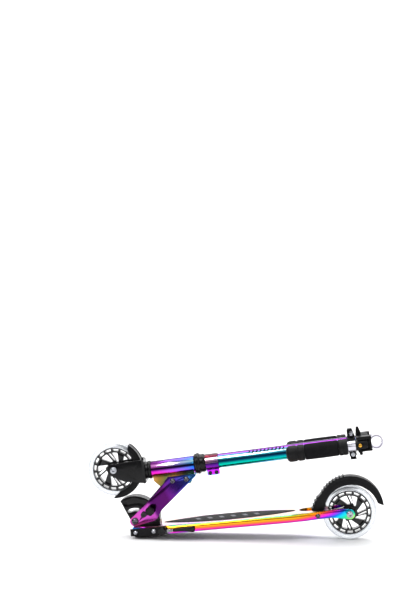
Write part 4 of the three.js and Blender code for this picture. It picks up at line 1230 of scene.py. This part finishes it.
def grip_holder():
    a, b = 458.2, 490
    end = BAR_STATION - BAR_RADIUS - 0.8
    solid = join(rod("X", 19, a, end, n=96), block(a + 2, end - 1, -27, 27, -14.5, 14.5))
    for side in (-1, 1):
        y0, y1 = sorted((side * 26.6, side * 45))
        z0, z1 = sorted((side * 20, side * 28))
        trough = join(block(a + 1, b, y0, y1, -14.6, 17.6), block(a + 1, end - 1, z0, z1, -14.6, 17.6))
        mouth = sorted((side * GRIP_OFFSET, side * 60))
        trough = cut(
            trough,
            rod("X", GRIP_RADIUS + GAP, a - 1, b + 1, (side * GRIP_OFFSET, 0), n=96),
            block(a - 1, b + 1, *mouth, -GRIP_RADIUS - GAP, GRIP_RADIUS + GAP),
        )
        solid = join(solid, rounded(trough, 0.9, angle=60))
    up = slab("Y", [(a + 1, 10), (a + 13, 10), (a + 11, 26), (a + 8, 36), (a + 3, 36), (a + 1, 26)], -6, 6)
    down = slab("Y", [(a + 4, -10), (a + 11, -10), (a + 11, -26.5), (a + 5, -27.5), (a + 2, -18)], -6, 6)
    solid = join(solid, rounded(up, 1.5, segments=3, angle=40), rounded(down, 1.2, segments=3, angle=40))
    return cut(
        solid, rod("X", STEM_RADIUS + GAP, a - 5, b + 10, n=96),
        rod("Y", BAR_RADIUS + 0.6, -26.3, 26.3, (BAR_STATION, 0), n=96)
    )


place(grip_holder(), COLUMN, "grip_holder", "t_bar", "black_plastic", bevel=0.5)

# ---- Grips ----


def grip(which, side):
    at = (side * GRIP_OFFSET, 0)
    body = f"grip_{which}"
    end = BAR_STATION - 20
    plug_start = end - 26
    collar_end = BAR_STATION - 63
    start = collar_end - GRIP_LENGTH
    button_x = BAR_STATION - 36.4
    ferrule = tube("X", GRIP_RADIUS, 8.6, start + 14, plug_start - GAP, at)
    place(ferrule, COLUMN, f"grip_{which}_tube", body, "ferrule_silver", bevel=0.2)
    plug = turn(
        "X",
        [
            (8, plug_start), (10.6, plug_start), (GRIP_RADIUS, plug_start + 0.5), (GRIP_RADIUS, end - 1.4),
            (GRIP_RADIUS - 0.4, end - 0.5), (GRIP_RADIUS - 1.3, end), (8, end)
        ],
        at, n=96
    )
    window = sorted((side * 60, at[0]))
    plug = cut(plug, rod("Y", BUTTON_WINDOW, *window, (button_x, 0)))
    place(plug, COLUMN, f"grip_{which}_plug", body, "black_plastic", bevel=0.2)
    r0, r1 = GRIP_RADIUS - 3.4, GRIP_RADIUS + 2.2
    points = [(0, r0), (4, r0), (4, r1 - 1.6), (3.6, r1 - 0.8), (2.6, r1 - 0.2), (1.2, r1), (0, r1)]
    button = turn("Y", [(r, side * y) for r, y in points], n=48)
    place(
        moved(button, button_x, at[0], 0), COLUMN, f"grip_{which}_button", f"button_{which}",
        "brass_button", bevel=0
    )
    bore = GRIP_RADIUS + GAP
    collar_points = [
        (bore, -20), (16.2, -20), (17.2, -19.2), (17.8, -17.5), (17.8, -12.2), (17.2, -11.6), (17.2, -10.4),
        (17.8, -9.8), (17.8, -3.6), (17.2, -1.6), (15.6, 0), (bore, 0)
    ]
    shape = turn("X", [(r, collar_end + x) for r, x in collar_points], at, n=96)
    place(shape, COLUMN, f"grip_{which}_collar", body, "cap_rubber", bevel=0.2)
    cap_points = [
        (0, 0), (5, 0.15), (9, 0.7), (12.4, 1.9), (14.9, 3.5), (16.6, 5.6), (17.6, 8), (18, 11), (18, 21),
        (17.6, 22.6), (16.4, 23.6), (16.4, 26.2), (17.4, 27), (18, 28.4), (18, 34), (17.5, 38.4),
        (16.6, 40.2), (bore, 40.2), (bore, 13.6), (0, 13.6)
    ]
    cap = turn("X", [(r, start + x) for r, x in cap_points], at, n=96)
    place(cap, COLUMN, f"grip_{which}_end_cap", body, "cap_rubber", bevel=0.15)
    foam_sleeve(which, body, at, start + 40.5, collar_end - 20.3)


def foam_sleeve(which, body, at, a, b):
    """Foam sleeve: crowned, with rounded shoulders that bulge against the collars."""
    length = b - a
    outer = []
    steps = 36
    for i in range(steps + 1):
        t = i / steps
        crown = 0.45 * sin(pi * t)
        shoulder = min(1, t * length / 3.2, (1 - t) * length / 3.2)
        outer.append(
            (FOAM_RADIUS - 0.55 + crown - 1.4 * (1 - sqrt(1 - (1 - shoulder) ** 2)), a + length * t)
        )
    bore = GRIP_RADIUS + GAP
    sleeve = turn("X", [(bore, a)] + outer + [(bore, b)], at, n=128)
    place(sleeve, COLUMN, f"grip_{which}_foam", body, "foam", bevel=0)


grip("left", -1)
grip("right", 1)

# ---- Floor, light and camera ----


def studio():
    sweep_points = [(-4, 0), (2.2, 0)] + [
        (2.2 + 1.6 * sin(a), 1.6 - 1.6 * cos(a)) for a in [pi * i / 48 for i in range(1, 25)]
    ]
    sweep_points.append((3.8, 6))
    vertices = [(x, y, z) for x in (-7, 7) for y, z in sweep_points]
    n = len(sweep_points)
    faces = [[i, i + 1, n + i + 1, n + i] for i in range(n - 1)]
    mesh = bpy.data.meshes.new("floor")
    mesh.from_pydata(vertices, [], faces)
    mesh.polygons.foreach_set("use_smooth", [True] * len(faces))
    floor = new_object("floor", mesh)
    s = Shader("floor")
    s.color(s.mix(s.noise(3, 2), (0.86, 0.86, 0.865), (0.89, 0.89, 0.895)))
    s.set(Roughness=0.7)
    mesh.materials.append(s.material)


def softbox(name, location, target, size, power):
    light = bpy.data.lights.new(name, "AREA")
    light.shape = "RECTANGLE"
    light.size, light.size_y = size
    light.energy = power
    obj = new_object(name, light)
    obj.location = location
    obj.rotation_mode = "QUATERNION"
    obj.rotation_quaternion = (Vector(target) - Vector(location)).to_track_quat("-Z", "Y")


def world():
    w = bpy.data.worlds.new("studio")
    bpy.context.scene.world = w
    w.use_nodes = True
    tree = w.node_tree
    sky = tree.nodes.new("ShaderNodeTexCoord")
    height = tree.nodes.new("ShaderNodeSeparateXYZ")
    ramp = tree.nodes.new("ShaderNodeValToRGB")
    ramp.color_ramp.elements[0].color = (0.16, 0.165, 0.18, 1)
    ramp.color_ramp.elements[1].color = (1.0, 1.0, 1.0, 1)
    ramp.color_ramp.elements[1].position = 0.8
    tree.links.new(sky.outputs["Generated"], height.inputs[0])
    tree.links.new(height.outputs["Z"], ramp.inputs[0])
    tree.links.new(ramp.outputs[0], tree.nodes["Background"].inputs[0])
    tree.nodes["Background"].inputs[1].default_value = 0.8


def camera():
    azimuth, elevation, roll = (radians(a) for a in (3.55, 1.74, 0.26))
    distance = 3.0
    target = Vector((-0.0585, 0, 0.5244))
    out = Vector((sin(azimuth) * cos(elevation), -cos(azimuth) * cos(elevation), sin(elevation)))
    data = bpy.data.cameras.new("camera")
    data.lens = 81.6
    data.sensor_width = 36
    obj = new_object("camera", data)
    obj.rotation_mode = "QUATERNION"
    obj.location = target + out * distance
    obj.rotation_quaternion = (-out).to_track_quat("-Z", "Y") @ Matrix.Rotation(roll, 4, "Z").to_quaternion(
        
    )
    bpy.context.scene.camera = obj


studio()
world()
bpy.context.scene.view_settings.view_transform = "Standard"
softbox("key", (-1.2, -1.8, 2.6), (0, 0, 0.15), (1.6, 1.2), 44)
softbox("fill", (1.8, -2.2, 1.2), (0, 0, 0.15), (1.4, 1.4), 14)
softbox("top", (0.1, 0.6, 2.4), (0, 0.3, 0.1), (3.0, 1.6), 56)
softbox("backdrop", (0, 1.7, 3.4), (0, 3.9, 1.4), (5.0, 1.2), 120)
camera()
